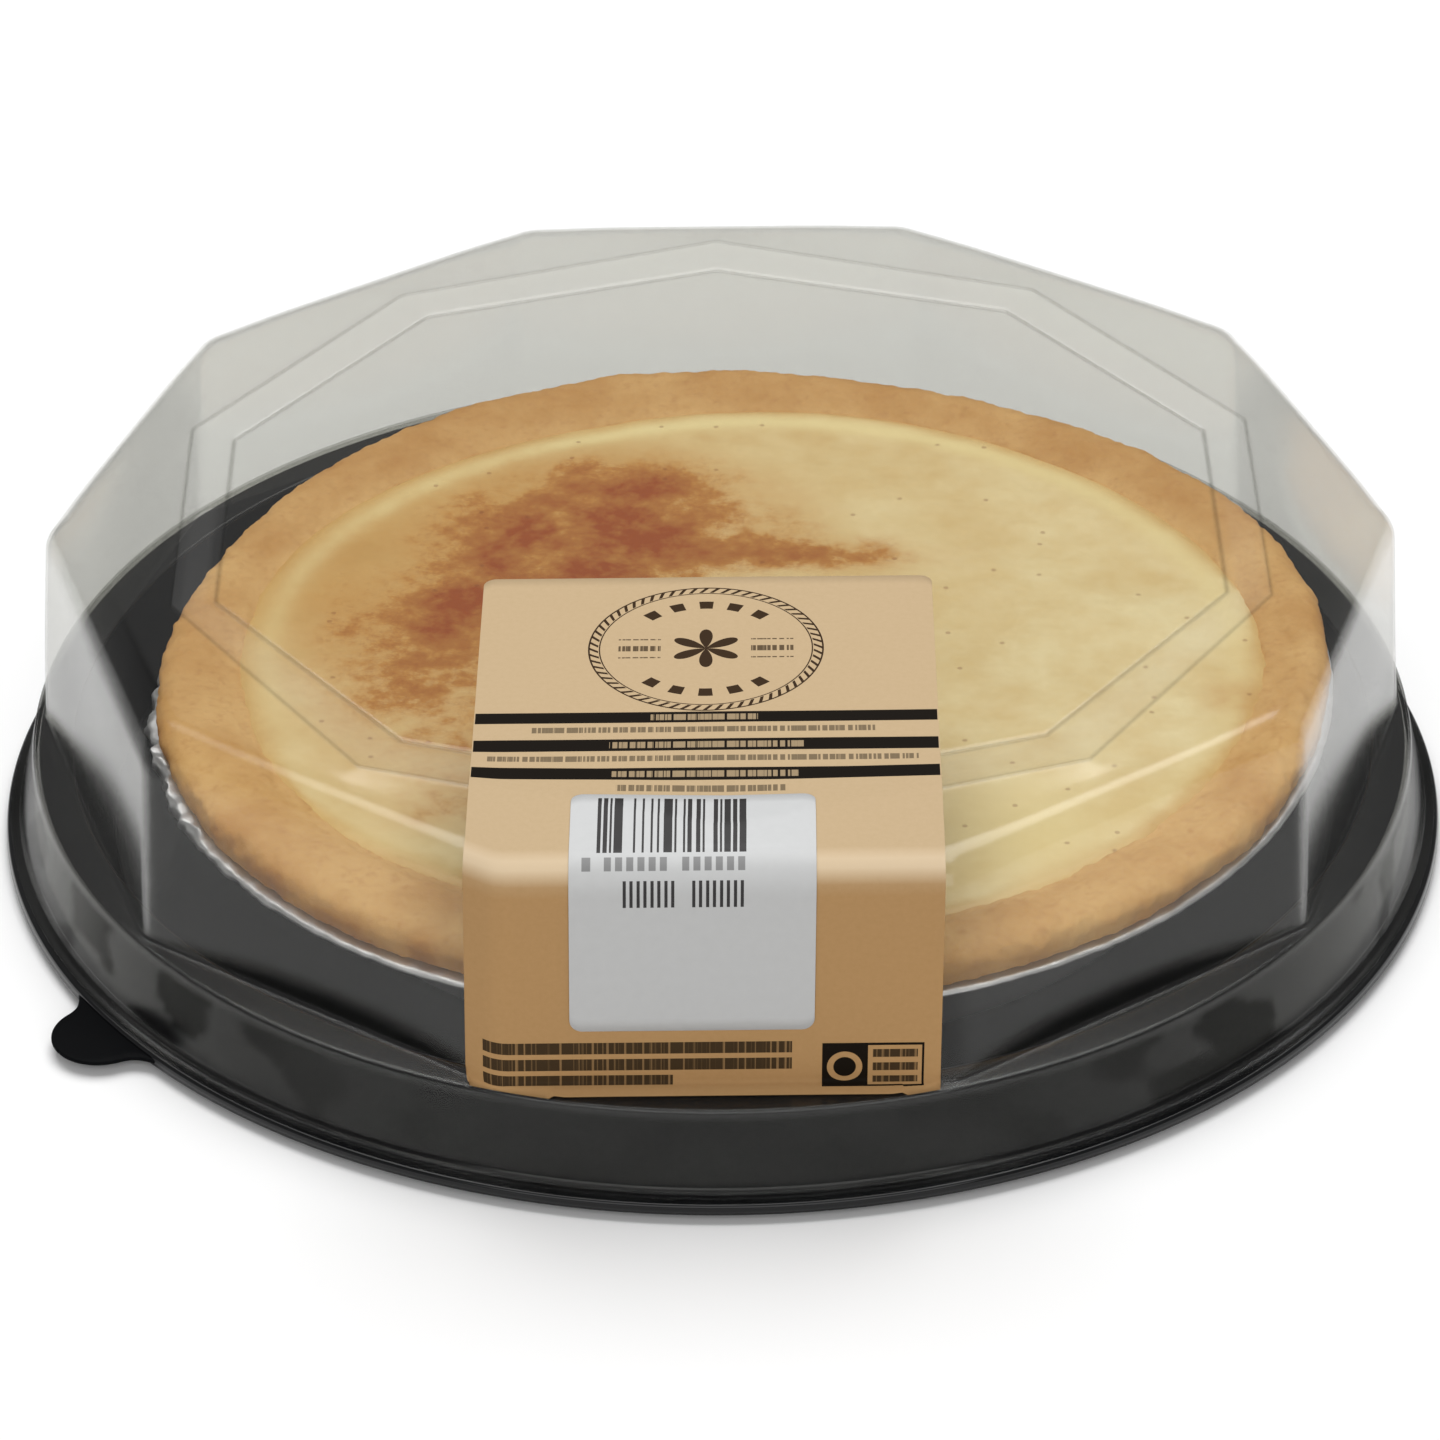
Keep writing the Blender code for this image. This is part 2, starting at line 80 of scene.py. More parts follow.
def rounded_path(corners, radii, steps=6):
    """Path of (radius, height) points through corners, each replaced by an arc of its radius.

    The arc starts radius * tan(turn / 2) before the corner and ends as far after it; points on
    it come from the quadratic curve through its start, the corner and its end.
    """
    corners = np.asarray(corners, float)
    path = [corners[:1]]
    for before, corner, after, radius in zip(corners, corners[1:], corners[2:], radii[1:]):
        inward, outward = before - corner, after - corner
        reach_in, reach_out = np.linalg.norm(inward), np.linalg.norm(outward)
        inward, outward = inward / reach_in, outward / reach_out
        turn = np.pi - np.arccos(np.clip(inward @ outward, -1.0, 1.0))
        cut = min(radius * np.tan(turn / 2.0), 0.48 * reach_in, 0.48 * reach_out)
        t = np.linspace(0.0, 1.0, steps)[:, None]
        path.append((1 - t) ** 2 * (corner + inward * cut) + 2 * t * (1 - t) * corner
                    + t ** 2 * (corner + outward * cut))
    path.append(corners[-1:])
    return np.concatenate(path)


def around(radius, height, angle):
    """Points at compass angles (radians from +Y towards +X), by radius and height."""
    radius, height, angle = np.broadcast_arrays(radius, height, angle)
    return np.stack([radius * np.sin(angle), radius * np.cos(angle), height], axis=-1)


def full_turn(steps):
    """Equal compass angles of one full turn, in radians."""
    return np.linspace(0.0, 2.0 * np.pi, steps, endpoint=False)


def turned(path, steps):
    """Grid of rings: each (radius, height) point of the path carried once round the upright axis."""
    return around(path[:, :1], path[:, 1:], full_turn(steps))


def outward_normals(grid):
    """Unit normals of a grid of rings: the cross product of its slopes along and round the rings."""
    along = np.gradient(grid, axis=0)
    round_it = np.roll(grid, -1, axis=1) - np.roll(grid, 1, axis=1)
    normal = np.cross(round_it, along)
    return normal / np.maximum(np.linalg.norm(normal, axis=-1, keepdims=True), 1e-9)


def walled(outside, thickness):
    """Rings of a thin sheet: its outer face from the middle out, then the same face moved in."""
    return np.concatenate([outside, (outside - outward_normals(outside) * thickness)[::-1]])


def ripples(points, wavelength, seed, count=28):
    """Uneven height field: the sum of plane waves of about one wavelength.

    Each has a random direction and phase, and the sum is divided so that its spread is 1.
    """
    random = np.random.default_rng(seed)
    direction = random.normal(size=(count, 3))
    direction /= np.linalg.norm(direction, axis=1, keepdims=True)
    number = direction * (2.0 * np.pi / (wavelength * random.uniform(0.7, 1.5, (count, 1))))
    phase = random.uniform(0.0, 2.0 * np.pi, count)
    return np.sin(points @ number.T + phase).sum(axis=-1) / math.sqrt(count / 2.0)


def add_piece(name, points, faces, material):
    """Smooth mesh object from points in millimetres, which rides on the pack."""
    mesh = bpy.data.meshes.new(name)
    mesh.from_pydata((np.asarray(points) * MM).tolist(), [], faces)
    mesh.materials.append(material)
    mesh.shade_smooth()
    piece = bpy.data.objects.new(name, mesh)
    bpy.context.scene.collection.objects.link(piece)
    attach(piece, "root")
    return piece


def add_rings(name, rings, material):
    """Closed piece over rings of points: quads between neighbouring rings, and a fan at both ends."""
    count, steps = rings.shape[:2]
    points = np.concatenate([rings.reshape(-1, 3), rings[[0, -1]].mean(axis=1)])
    one = np.arange(steps)
    two = (one + 1) % steps
    first = np.arange(count - 1)[:, None] * steps
    second = first + steps
    quads = np.stack([first + one, first + two, second + two, second + one], axis=-1)
    last = (count - 1) * steps
    top = np.stack([np.full(steps, count * steps), two, one], axis=-1)
    under = np.stack([np.full(steps, count * steps + 1), last + one, last + two], axis=-1)
    faces = quads.reshape(-1, 4).tolist() + top.tolist() + under.tolist()
    return add_piece(name, points, faces, material)


def add_layer(piece, name, values):
    """Stores one number a point of a piece of rings; both end points take their ring's mean."""
    values = np.concatenate([values.ravel(), values[[0, -1]].mean(axis=1)])
    layer = piece.data.attributes.new(name, "FLOAT", "POINT")
    layer.data.foreach_set("value", values.astype(np.float32))


def paint(code):
    """Linear colour of an sRGB hex code."""
    value = np.array([int(code[i:i + 2], 16) for i in (1, 3, 5)]) / 255.0
    linear = np.where(value <= 0.04045, value / 12.92, ((value + 0.055) / 1.055) ** 2.4)
    return (*linear.tolist(), 1.0)


def add(tree, kind, inputs=(), **settings):
    """Adds one shader node: settings go on the node, inputs are values, sockets or nodes.

    Inputs come by name or number, or in order. A node stands for its first output in use. Text
    that starts with # is a colour.
    """
    node = tree.nodes.new("ShaderNode" + kind)
    for key, value in settings.items():
        setattr(node, key, value)
    for key, value in inputs.items() if isinstance(inputs, dict) else enumerate(inputs):
        if isinstance(value, bpy.types.Node):
            value = next(output for output in value.outputs if output.enabled)
        if isinstance(value, bpy.types.NodeSocket):
            tree.links.new(value, node.inputs[key])
        else:
            node.inputs[key].default_value = paint(value) if isinstance(value, str) else value
    return node


def new_finish(name):
    """Material with an empty node tree, and that tree."""
    material = bpy.data.materials.new(name)
    material.use_nodes = True
    material.node_tree.nodes.clear()
    return material, material.node_tree


def black_sheet(name, smoothest, dullest, ior):
    """Black polystyrene: smudges a few centimetres wide dull it from smoothest to dullest."""
    material, tree = new_finish(name)
    place = add(tree, "TexCoord").outputs["Object"]
    smudge = add(tree, "TexNoise", {"Vector": place, "Scale": 28.0, "Detail": 5.0, "Roughness": 0.6})
    dull = add(tree, "MapRange", (smudge, 0.35, 0.7, smoothest, dullest))
    shade = add(tree, "Mix", {0: smudge, 6: "#08080a", 7: "#101112"}, data_type="RGBA")
    wave = add(tree, "TexNoise", {"Vector": place, "Scale": 45.0, "Detail": 1.0})
    dents = add(tree, "Bump", {"Height": wave, "Strength": 0.25, "Distance": 0.0006})
    surface = add(tree, "BsdfPrincipled", {"Base Color": shade, "Roughness": dull, "IOR": ior,
                                           "Normal": dents})
    add(tree, "OutputMaterial", (surface,))
    return material


# Polystyrene has IOR 1.59; the lower number gives the dark flange and rim.
tray_rings = walled(turned(rounded_path(TRAY_PATH, TRAY_ROUNDING)[1:], TRAY_STEPS), TRAY_SHEET)
tray = add_rings("tray", tray_rings, black_sheet("black_polystyrene", 0.1, 0.22, 1.4))
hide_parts("base_tray")

# Lifting tab
# A rounded tongue of the same sheet left on the rim, at the left of the label, to pull by.
# It is cut flat, so only its edge is softened.
TAB_ANGLE = math.radians(-126.0)
TAB_FROM, TAB_MIDDLE, TAB_NOSE = 134.0, 139.1, 9.0
TAB_ROOT, TAB_FLARE_FROM, TAB_FLARE_TO = 4.0, 136.0, 141.0
TAB_TOP, TAB_SHEET = 3.0, 0.8


def rise(value, start, end):
    """0 before start, 1 past end, and a straight climb between them."""
    return np.clip((value - start) / (end - start), 0.0, 1.0)


def tab_rings():
    """Slices of the tab across its length, from the root under the rim to the nose.

    At distance u out, half the width is sqrt(nose^2 - (u - middle)^2) past the nose's middle, or
    nose before it, plus a flare that fades away from the root as (1 - rise)^2.5. The edge is
    rounded by moving the outline in along its own normal by an inset for each height.
    """
    turn = np.radians(np.linspace(4.0, 88.5, 24))
    out = np.concatenate([[TAB_FROM, 136.0, 136.4, 136.8, 137.2, 137.7, 138.2, 138.7],
                          TAB_MIDDLE + TAB_NOSE * np.sin(turn)])
    half = np.sqrt(TAB_NOSE ** 2 - np.maximum(out - TAB_MIDDLE, 0.0) ** 2) \
        + TAB_ROOT * (1.0 - rise(out, TAB_FLARE_FROM, TAB_FLARE_TO)) ** 2.5
    normal = np.stack([np.gradient(out), -np.gradient(half)])
    normal = normal / np.linalg.norm(normal, axis=0)
    inset = np.array([0.25, 0.07, 0.0, 0.0, 0.07, 0.25])[:, None]
    drop = np.array([0.0, 0.1, 0.3, 0.7, 0.9, 1.0])
    side, reach = half - inset * normal[0], out - inset * normal[1]
    share = np.array([-0.8, -0.4, 0.0, 0.4, 0.8])[:, None]
    across = np.concatenate([share * side[0], side, share[::-1] * side[0], -side[::-1]])
    outwards = np.concatenate([0.0 * share + reach[0], reach, 0.0 * share + reach[0], reach[::-1]])
    height = TAB_TOP - TAB_SHEET * np.concatenate([np.zeros(5), drop, np.ones(5), drop[::-1]])
    x = across * math.cos(TAB_ANGLE) + outwards * math.sin(TAB_ANGLE)
    y = outwards * math.cos(TAB_ANGLE) - across * math.sin(TAB_ANGLE)
    return np.stack([x, y, height[:, None] + 0.0 * x], axis=-1).transpose(1, 0, 2)


# The tab is scuffed by fingers, so it mirrors less of the light than the tray.
tab = add_rings("tray_tab", tab_rings(), black_sheet("scuffed_black_polystyrene", 0.3, 0.45, 1.08))
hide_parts("base_tray")

# Foil dish
# Thin bright aluminium foil pressed into a round dish, set a little to the right and back on
# the tray. Its rim is curled over and crumpled, most of all at the left, under the pastry.
TART_AT = np.array([3.9, 2.6, 0.0])
FOIL_SHEET = 0.3
FOIL_STEPS = 900
# The foil's upper face as (radius, height): floor, wall, flat rim and the curl that hangs from it
FOIL_PATH = [(0.0, 1.4), (88.6, 1.4), (106.2, 24.4), (107.5, 24.8), (109.6, 25.0), (111.9, 24.9),
             (112.0, 23.0)]
FOIL_ROUNDING = [0.0, 2.5, 1.2, 0.5, 0.5, 1.6, 0.0]
# The tart's uneven outline as (waves a turn, sine, cosine), and where its rim is crumpled, as
# (angle, spread) in radians: torn at the left, bulged at the front left
OUTER_WAVES = ((2, 0.65, 0.05), (3, -1.1, 0.1), (4, -1.0, -0.2), (5, -0.5, 0.1))
TORN_AT, BULGE_AT = (math.radians(260.0), 0.38), (math.radians(224.0), 0.5)
PLEATS, PLEATED, AT_RIM, CURL_FROM = 150, (90.0, 107.0), (106.6, 110.6), 24.6


def wander(angle, waves):
    """How far an uneven outline strays from its circle: the sum of its waves."""
    return sum(sine * np.sin(n * angle) + cosine * np.cos(n * angle) for n, sine, cosine in waves)


def bell(value, middle, spread):
    """Smooth bump of height 1 at middle: exp(-((value - middle) / spread)^2)."""
    return np.exp(-((value - middle) / spread) ** 2)


def foil_rings():
    """Dish turned from its path, with faint pleats up the wall and a rim that is uneven.

    Each point moves out by its pleat and, at the rim, by the outline's waves and by crumples,
    which are large where the foil is torn. The curl is drawn up, except there, where it hangs.
    """
    path = rounded_path(FOIL_PATH, FOIL_ROUNDING, 5)[1:]
    angle = full_turn(FOIL_STEPS)
    grid = turned(path, FOIL_STEPS)
    left = 0.5 - 0.5 * np.sin(angle + 0.35)
    torn, bulge = bell(angle, *TORN_AT), bell(angle, *BULGE_AT)
    up_wall, at_rim = rise(path[:, :1], *PLEATED), rise(path[:, :1], *AT_RIM)
    pleat = 0.07 * np.abs(np.sin(PLEATS / 2 * angle)) * up_wall
    crumple = (0.06 + 0.5 * torn) * ripples(grid, 8.0, 11) + (0.02 + 0.35 * torn) * ripples(grid, 3.2, 12)
    outward = around(np.ones_like(grid[..., 0]), 0.0, angle)
    stray = wander(angle, OUTER_WAVES) + 0.3 * left + 0.5 * bulge + crumple
    grid = grid + outward * (pleat + at_rim * stray)[..., None]
    hanging = np.maximum(CURL_FROM - path[:, 1:], 0.0) * at_rim
    grid[..., 2] += at_rim * 0.3 * torn * ripples(grid, 4.0, 13) - hanging * (1.2 * torn - 0.65)
    return walled(grid, FOIL_SHEET) + TART_AT


# Household aluminium foil: full metal, slightly rough from rolling, with creases a few
# millimetres apart.
foil_finish, tree = new_finish("aluminium_foil")
place = add(tree, "TexCoord").outputs["Object"]
crease = add(tree, "TexNoise", {"Vector": place, "Scale": 260.0, "Detail": 3.0})
rolled = add(tree, "MapRange", (crease, 0.3, 0.7, 0.36, 0.56))
folds = add(tree, "Bump", {"Height": crease, "Strength": 0.35, "Distance": 0.0004})
surface = add(tree, "BsdfPrincipled", {"Base Color": "#dddde0", "Metallic": 1.0, "Roughness": rolled,
                                       "Normal": folds})
add(tree, "OutputMaterial", (surface,))

dish = add_rings("foil_dish", foil_rings(), foil_finish)
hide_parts("foil_tin")

# Pastry case
# Short biscuit pastry pressed into the dish by hand, baked blond, and toasted along its outer
# shoulder. Its thick rim is uneven in height and width, and its face is fine crumb.
CRUST_STEPS = 900
CRUST_OUT, CRUST_TOP, CUSTARD_R, CUSTARD_TOP = 111.2, 31.4, 95.0, 29.2
INNER_WAVES = ((1, 1.4, 1.75), (2, 0.0, -1.6), (5, 0.6, 0.35))
# Unseen faces as (radius, height): the floor under the custard, and the outside in the dish
CRUST_FLOOR = [(4.0, 4.6), (85.4, 4.6)]
CRUST_UNDER = [(106.7, 25.4), (105.4, 24.2), (89.5, 3.0), (88.0, 1.7), (4.0, 1.7)]
# Browner places as (middle, spread): an angle in radians, and a spot's x and y in millimetres
BROWNED_AT = (math.radians(222.0), 0.75)
GAP_SPOT_X, GAP_SPOT_Y = (97.5, 2.5), (6.0, 16.0)


def crust_rings():
    """Rings of the case and how toasted each point is.

    The face runs smoothly through its corners at every angle, then gets crumb and dents from
    ripples. It is palest beside the custard and at the front. Toasting grows over the outer
    shoulder, in small patches, and is strongest at the front left; a darker brown spot lies in
    the gap beside the custard's right.
    """
    angle = full_turn(CRUST_STEPS)
    lift = 0.3 * np.sin(2 * angle + 0.6) + 0.13 * np.sin(5 * angle) + 0.08 * np.sin(9 * angle + 2.0)
    outer = CRUST_OUT + wander(angle, OUTER_WAVES)
    inner = CUSTARD_R + wander(angle, INNER_WAVES)
    corners = [(inner - 2.0, CUSTARD_TOP - 3.0), (inner - 0.1, CUSTARD_TOP - 0.4),
               (inner + 2.2, CUSTARD_TOP + 0.5 + 0.4 * lift), (inner + 5.0, CUSTARD_TOP + 1.3 + 0.8 * lift),
               (0.45 * inner + 0.55 * outer, CRUST_TOP - 0.15 + lift), (outer - 3.6, CRUST_TOP + lift),
               (outer - 1.2, CRUST_TOP - 0.9 + lift), (outer - 0.1, CRUST_TOP - 2.6),
               (outer - 0.1, CRUST_TOP - 4.4), (outer - 0.6, CRUST_TOP - 5.9)]
    knots = np.array([np.broadcast_arrays(r, z) for r, z in corners])
    t = np.linspace(0.0, len(knots) - 1.0, 50)
    low = np.minimum(t.astype(int), len(knots) - 2)
    part = (t - low)[:, None, None]
    before, after = knots[np.maximum(low - 1, 0)], knots[np.minimum(low + 2, len(knots) - 1)]
    here, there = knots[low], knots[low + 1]
    face = 0.5 * (2 * here + (there - before) * part + (2 * before - 5 * here + 4 * there - after) * part ** 2
                  + (3 * here - before - 3 * there + after) * part ** 3)
    open_face = around(face[:, 0], face[:, 1], angle)
    crumb = 0.15 * ripples(open_face, 15.0, 21) + 0.1 * ripples(open_face, 5.0, 22) \
        + 0.07 * ripples(open_face, 2.2, 23)
    share = (face[:, 0] - inner) / (outer - inner) + np.maximum(t[:, None] - 6.0, 0.0) * 0.1
    toast = 0.33 + 0.17 * np.cos(angle) + 0.1 * ripples(open_face, 24.0, 24) \
        + rise(share, 0.72, 1.12) ** 1.5 * (0.35 + 0.4 * bell(angle, *BROWNED_AT)) \
        * (1.0 + 0.2 * ripples(open_face, 9.0, 25)) - 0.3 * rise(share, 0.3, 0.0)
    # A darker brown spot in the gap between case and custard at the right
    toast += 0.6 * bell(open_face[..., 0], *GAP_SPOT_X) * bell(open_face[..., 1], *GAP_SPOT_Y)
    open_face = open_face + outward_normals(open_face) * crumb[..., None]
    hidden_top, hidden_under = (turned(np.array(path), CRUST_STEPS) for path in (CRUST_FLOOR, CRUST_UNDER))
    rings = np.concatenate([hidden_top, open_face, hidden_under]) + TART_AT
    return rings, np.pad(toast, ((len(CRUST_FLOOR), len(CRUST_UNDER)), (0, 0)))


# Baked shortcrust: dull and tan, browner where the toast attribute is higher, with fine grains
# of flour and butter. Grain size is about half a millimetre to two millimetres.
pastry, tree = new_finish("baked_shortcrust")
place = add(tree, "TexCoord").outputs["Object"]
baked = add(tree, "Attribute", attribute_name="toast").outputs["Fac"]
patch = add(tree, "TexNoise", {"Vector": place, "Scale": 70.0, "Detail": 5.0, "Roughness": 0.65})
grain = add(tree, "TexNoise", {"Vector": place, "Scale": 520.0, "Detail": 4.0, "Roughness": 0.7})
mottled = add(tree, "MapRange", (patch, 0.3, 0.7, -0.3, 0.3))
oven = add(tree, "Math", (baked, mottled), operation="ADD")
tan = add(tree, "Mix", {0: oven, 6: "#ddb06e", 7: "#bd8338"}, data_type="RGBA")
scorch = add(tree, "MapRange", (oven, 0.8, 1.5, 0.0, 0.6))
browned = add(tree, "Mix", {0: scorch, 6: tan, 7: "#93592a"}, data_type="RGBA")
speck = add(tree, "MapRange", (grain, 0.52, 0.72, 0.0, 0.45))
crumbed = add(tree, "Mix", {0: speck, 6: browned, 7: "#b98046"}, data_type="RGBA")
crumbs = add(tree, "Bump", {"Height": grain, "Strength": 0.4, "Distance": 0.0005})
surface = add(tree, "BsdfPrincipled", {"Base Color": crumbed, "Roughness": 0.72, "IOR": 1.45,
                                       "Normal": crumbs})
add(tree, "OutputMaterial", (surface,))

case_rings, toasted = crust_rings()
crust = add_rings("pastry_case", case_rings, pastry)
add_layer(crust, "toast", toasted)
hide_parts("pastry_crust")

# Custard
# Set milk custard, cream yellow with a thin baked skin, dusted with ground cinnamon from the
# back left. The powder lies thick in two clouds and thins out to single grains on the right.
CUSTARD_STEPS = 480
# Dusted patches as (x, y, half length, half width, turn in degrees, strength), in millimetres
DUSTINGS = [(-38.0, 53.0, 15.0, 13.0, 20.0, 0.68), (-14.0, 52.0, 13.0, 15.0, 0.0, 0.76),
            (-17.0, 70.0, 20.0, 10.0, 0.0, 0.5), (-50.0, 24.0, 8.0, 18.0, -20.0, 0.72),
            (-22.0, 37.0, 13.0, 9.0, 0.0, 0.68), (6.0, 40.0, 12.0, 6.0, 0.0, 0.32),
            (-60.0, -2.0, 16.0, 24.0, 0.0, 0.28), (-45.0, -28.0, 16.0, 22.0, 0.0, 0.2),
            (-72.0, 20.0, 10.0, 16.0, 0.0, 0.12), (-52.0, -50.0, 12.0, 8.0, 0.0, 0.17),
            (10.0, 53.0, 12.0, 10.0, -10.0, 0.2), (24.0, 40.0, 14.0, 6.0, -4.0, 0.4),
            (-32.0, 20.0, 42.0, 55.0, 30.0, 0.27), (48.0, 38.0, 30.0, 40.0, 0.0, 0.05),
            # The last patch darkens the custard's edge at the same gap beside the case's darker spot.
            (95.5, -13.0, 6.0, 6.0, 0.0, 0.27)]


def custard_rings():
    """Level top that swells and sinks slightly and rolls down onto the case's lip.

    Its side and floor are hidden inside the case.
    """
    angle = full_turn(CUSTARD_STEPS)
    edge = CUSTARD_R + wander(angle, INNER_WAVES) + 1.2
    share = np.concatenate([np.linspace(0.02, 0.94, 88), np.linspace(0.95, 1.0, 12)])[:, None]
    radius = share * edge
    roll = rise(share, 0.975, 1.0)
    top = around(radius, CUSTARD_TOP + 0.25 - 0.9 * roll ** 2, angle)
    top[..., 2] += (1.0 - roll) * (0.16 * ripples(top, 34.0, 31) + 0.06 * ripples(top, 9.0, 32)
                                  + 0.03 * ripples(top, 3.0, 33))
    side = around(edge - 3.5, CUSTARD_TOP - 3.0, angle)
    floor = turned(np.array([(85.0, 4.9), (4.0, 4.9)]), CUSTARD_STEPS)
    return np.concatenate([top, side[None], floor]) + TART_AT


def dusting(points):
    """Amount of cinnamon at each point: the sum of the patches, each a soft-edged turned oval."""
    total = np.zeros(points.shape[:-1])
    for x, y, long, wide, turn, strength in DUSTINGS:
        c, s = math.cos(math.radians(turn)), math.sin(math.radians(turn))
        dx, dy = points[..., 0] - x, points[..., 1] - y
        along, across = (dx * c + dy * s) / long, (dy * c - dx * s) / wide
        total += strength * np.exp(-(along ** 2 + across ** 2))
    return total


def skin_tones(points):
    """How pale and how golden the baked skin is at each point, 0 to 1.

    It is pale in a ridge along the back edge, and pale in a patch at the front right that is
    painted light, lifting the shadow that the label casts there. It is golden at the left,
    towards the back and along the edge. The three are joined as chances are: one minus the
    product of what each leaves.
    """
    x, y = points[..., 0], points[..., 1]
    angle = np.arctan2(x - TART_AT[0], y - TART_AT[1])
    edge = CUSTARD_R + wander(angle, INNER_WAVES)
    inside = edge - np.hypot(x - TART_AT[0], y - TART_AT[1])
    back = (0.5 + 0.5 * np.cos(angle - 0.1)) ** 1.5
    # The second term is painted light over the label's cast shadow at the front right.
    pale = bell(inside, 4.5, 2.6) * back + 0.8 * bell(x, 52.0, 18.0) * bell(y, -58.0, 22.0)
    left = (0.3 + 0.7 * rise(y, -5.0, 25.0)) / (1.0 + np.exp((x + 44.0) / 11.0))
    behind = rise(y, 35.0, 65.0) * (0.5 - 0.3 * rise(x, -10.0, 30.0))
    rim = 0.75 * bell(inside, 0.0, 3.2 + ripples(points, 30.0, 35))
    return pale, 1.0 - (1.0 - left) * (1.0 - behind) * (1.0 - rim)


# Cinnamon on custard: the powder is grains of about a tenth of a millimetre. They are drawn at
# half a millimetre and in clumps so that they show, denser where the dusting attribute is higher.
custard_finish, tree = new_finish("custard_with_cinnamon")
place = add(tree, "TexCoord").outputs["Object"]
amount, ridge, gold = (add(tree, "Attribute", attribute_name=layer).outputs["Fac"]
                       for layer in ("dusting", "pale", "golden"))
skin, cloud, clump, grains = (
    add(tree, "TexNoise", {"Vector": place, "Scale": scale, "Detail": detail, "Roughness": coarse})
    for scale, detail, coarse in
    ((55.0, 6.0, 0.65), (110.0, 4.0, 0.55), (300.0, 3.0, 0.6), (900.0, 2.0, 0.8)))
crumb = add(tree, "TexVoronoi", {"Vector": place, "Scale": 110.0}, voronoi_dimensions="2D")
# The skin under the powder: yellow, tanned where it is golden, palest along the back ridge and in the painted
# light at the front right
skin_share = add(tree, "MapRange", (skin, 0.35, 0.65))
yellow = add(tree, "Mix", {0: skin_share, 6: "#e6c98c", 7: "#f5e2ae"}, data_type="RGBA")
tanned = add(tree, "Mix", {0: skin_share, 6: "#cf9f54", 7: "#dfb86f"}, data_type="RGBA")
golden = add(tree, "Mix", {0: gold, 6: yellow, 7: tanned}, data_type="RGBA")
creamy = add(tree, "Mix", {0: ridge, 6: golden, 7: "#f5e0a2"}, data_type="RGBA")
# The powder laid at each point: its amount, made uneven in clouds and then in clumps
uneven = add(tree, "MapRange", (cloud, 0.3, 0.7, 0.5, 1.5), clamp=False)
thick = add(tree, "Math", (amount, uneven), operation="MULTIPLY")
broken = add(tree, "MapRange", (clump, 0.3, 0.7, -0.25, 0.25), clamp=False)
strewn = add(tree, "Math", (broken, thick), operation="MULTIPLY")
laid = add(tree, "Math", (thick, strewn), operation="ADD")
loose = add(tree, "Math", (grains, laid), operation="ADD")
near = add(tree, "Math", (crumb.outputs["Distance"], 0.055), operation="LESS_THAN")
chosen = add(tree, "Math", (add(tree, "SeparateColor", (crumb.outputs["Color"],)), 0.74),
             operation="GREATER_THAN")
fallen = add(tree, "Math", (near, chosen), operation="MULTIPLY")
# Each cover over the one before: a thin veil, full powder, fine grains in it, and lone grains
dusted = creamy
for cover, colour in ((add(tree, "MapRange", (laid, 0.04, 0.46)), "#cd9446"),
                      (add(tree, "MapRange", (laid, 0.38, 1.15)), "#a2470a"),
                      (add(tree, "MapRange", (loose, 0.78, 1.1, 0.0, 0.35)), "#9c5620"),
                      (add(tree, "Math", (fallen, 0.4), operation="MULTIPLY"), "#8a4a1a")):
    dusted = add(tree, "Mix", {0: cover, 6: dusted, 7: colour}, data_type="RGBA")
rough = add(tree, "MapRange", (laid, 0.0, 0.6, 0.45, 0.85))
pores = add(tree, "Bump", {"Height": clump, "Strength": 0.3, "Distance": 0.0004})
surface = add(tree, "BsdfPrincipled", {"Base Color": dusted, "Roughness": rough, "IOR": 1.38,
                                       "Normal": pores})
add(tree, "OutputMaterial", (surface,))

filling_rings = custard_rings()
custard = add_rings("custard_filling", filling_rings, custard_finish)
for name, layer in zip(("dusting", "pale", "golden"), (dusting(filling_rings), *skin_tones(filling_rings))):
    add_layer(custard, name, layer)
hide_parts("custard")

# Clear lid
# One sheet of clear PET, vacuum formed: ten leaning walls, a top with a raised ridge round a
# sunk panel, a flat ledge, and a round skirt that snaps over the tray's ring.
HALF_SIDE = 18.0
LID_SHEET = 0.45
LID_STEPS = 600
PANEL_Z, RIDGE_Z, EDGE_Z, LEDGE_Z = 62.6, 63.3, 62.6, 19.7
# Corner distances from the back to the front, alike left and right
PANEL_CORNERS = (97.3, 97.5, 97.2, 96.9, 96.3, 96.3)
RIDGE_CORNERS = (108.3, 106.6, 105.7, 105.2, 108.2, 108.4)
WALL_TOP, WALL_FOOT = 120.3, 122.5
EDGE_RADIUS, CORNER_EXTRA, CORNER_FADE, CORNER_CUT = 5.8, 1.0, 5.0, 2.0
FOOT_RADIUS, SKIRT_TOP, SKIRT_FOOT, LIP = 0.8, 130.6, 133.7, 135.7
SKIRT_DROP, SKIRT_FOOT_Z = 0.9, 5.7
# Places round the lid as (compass angle from the back, spread), in degrees: where the skirt
# touches the tray, the front left edge whose reflection is painted dimmer as painted shade, and
# the part of the skirt at each side whose reflection is painted dimmest
TOUCHING, DIMMED_EDGE, DIMMED_SIDE = ((228.0, 15.0), (134.0, 17.0)), (232.0, 20.0), (91.0, 8.5)
SHEET_IOR = 1.33
WALL_TURN = math.pi / 2 - math.atan((WALL_FOOT - WALL_TOP) / (EDGE_Z - LEDGE_Z))


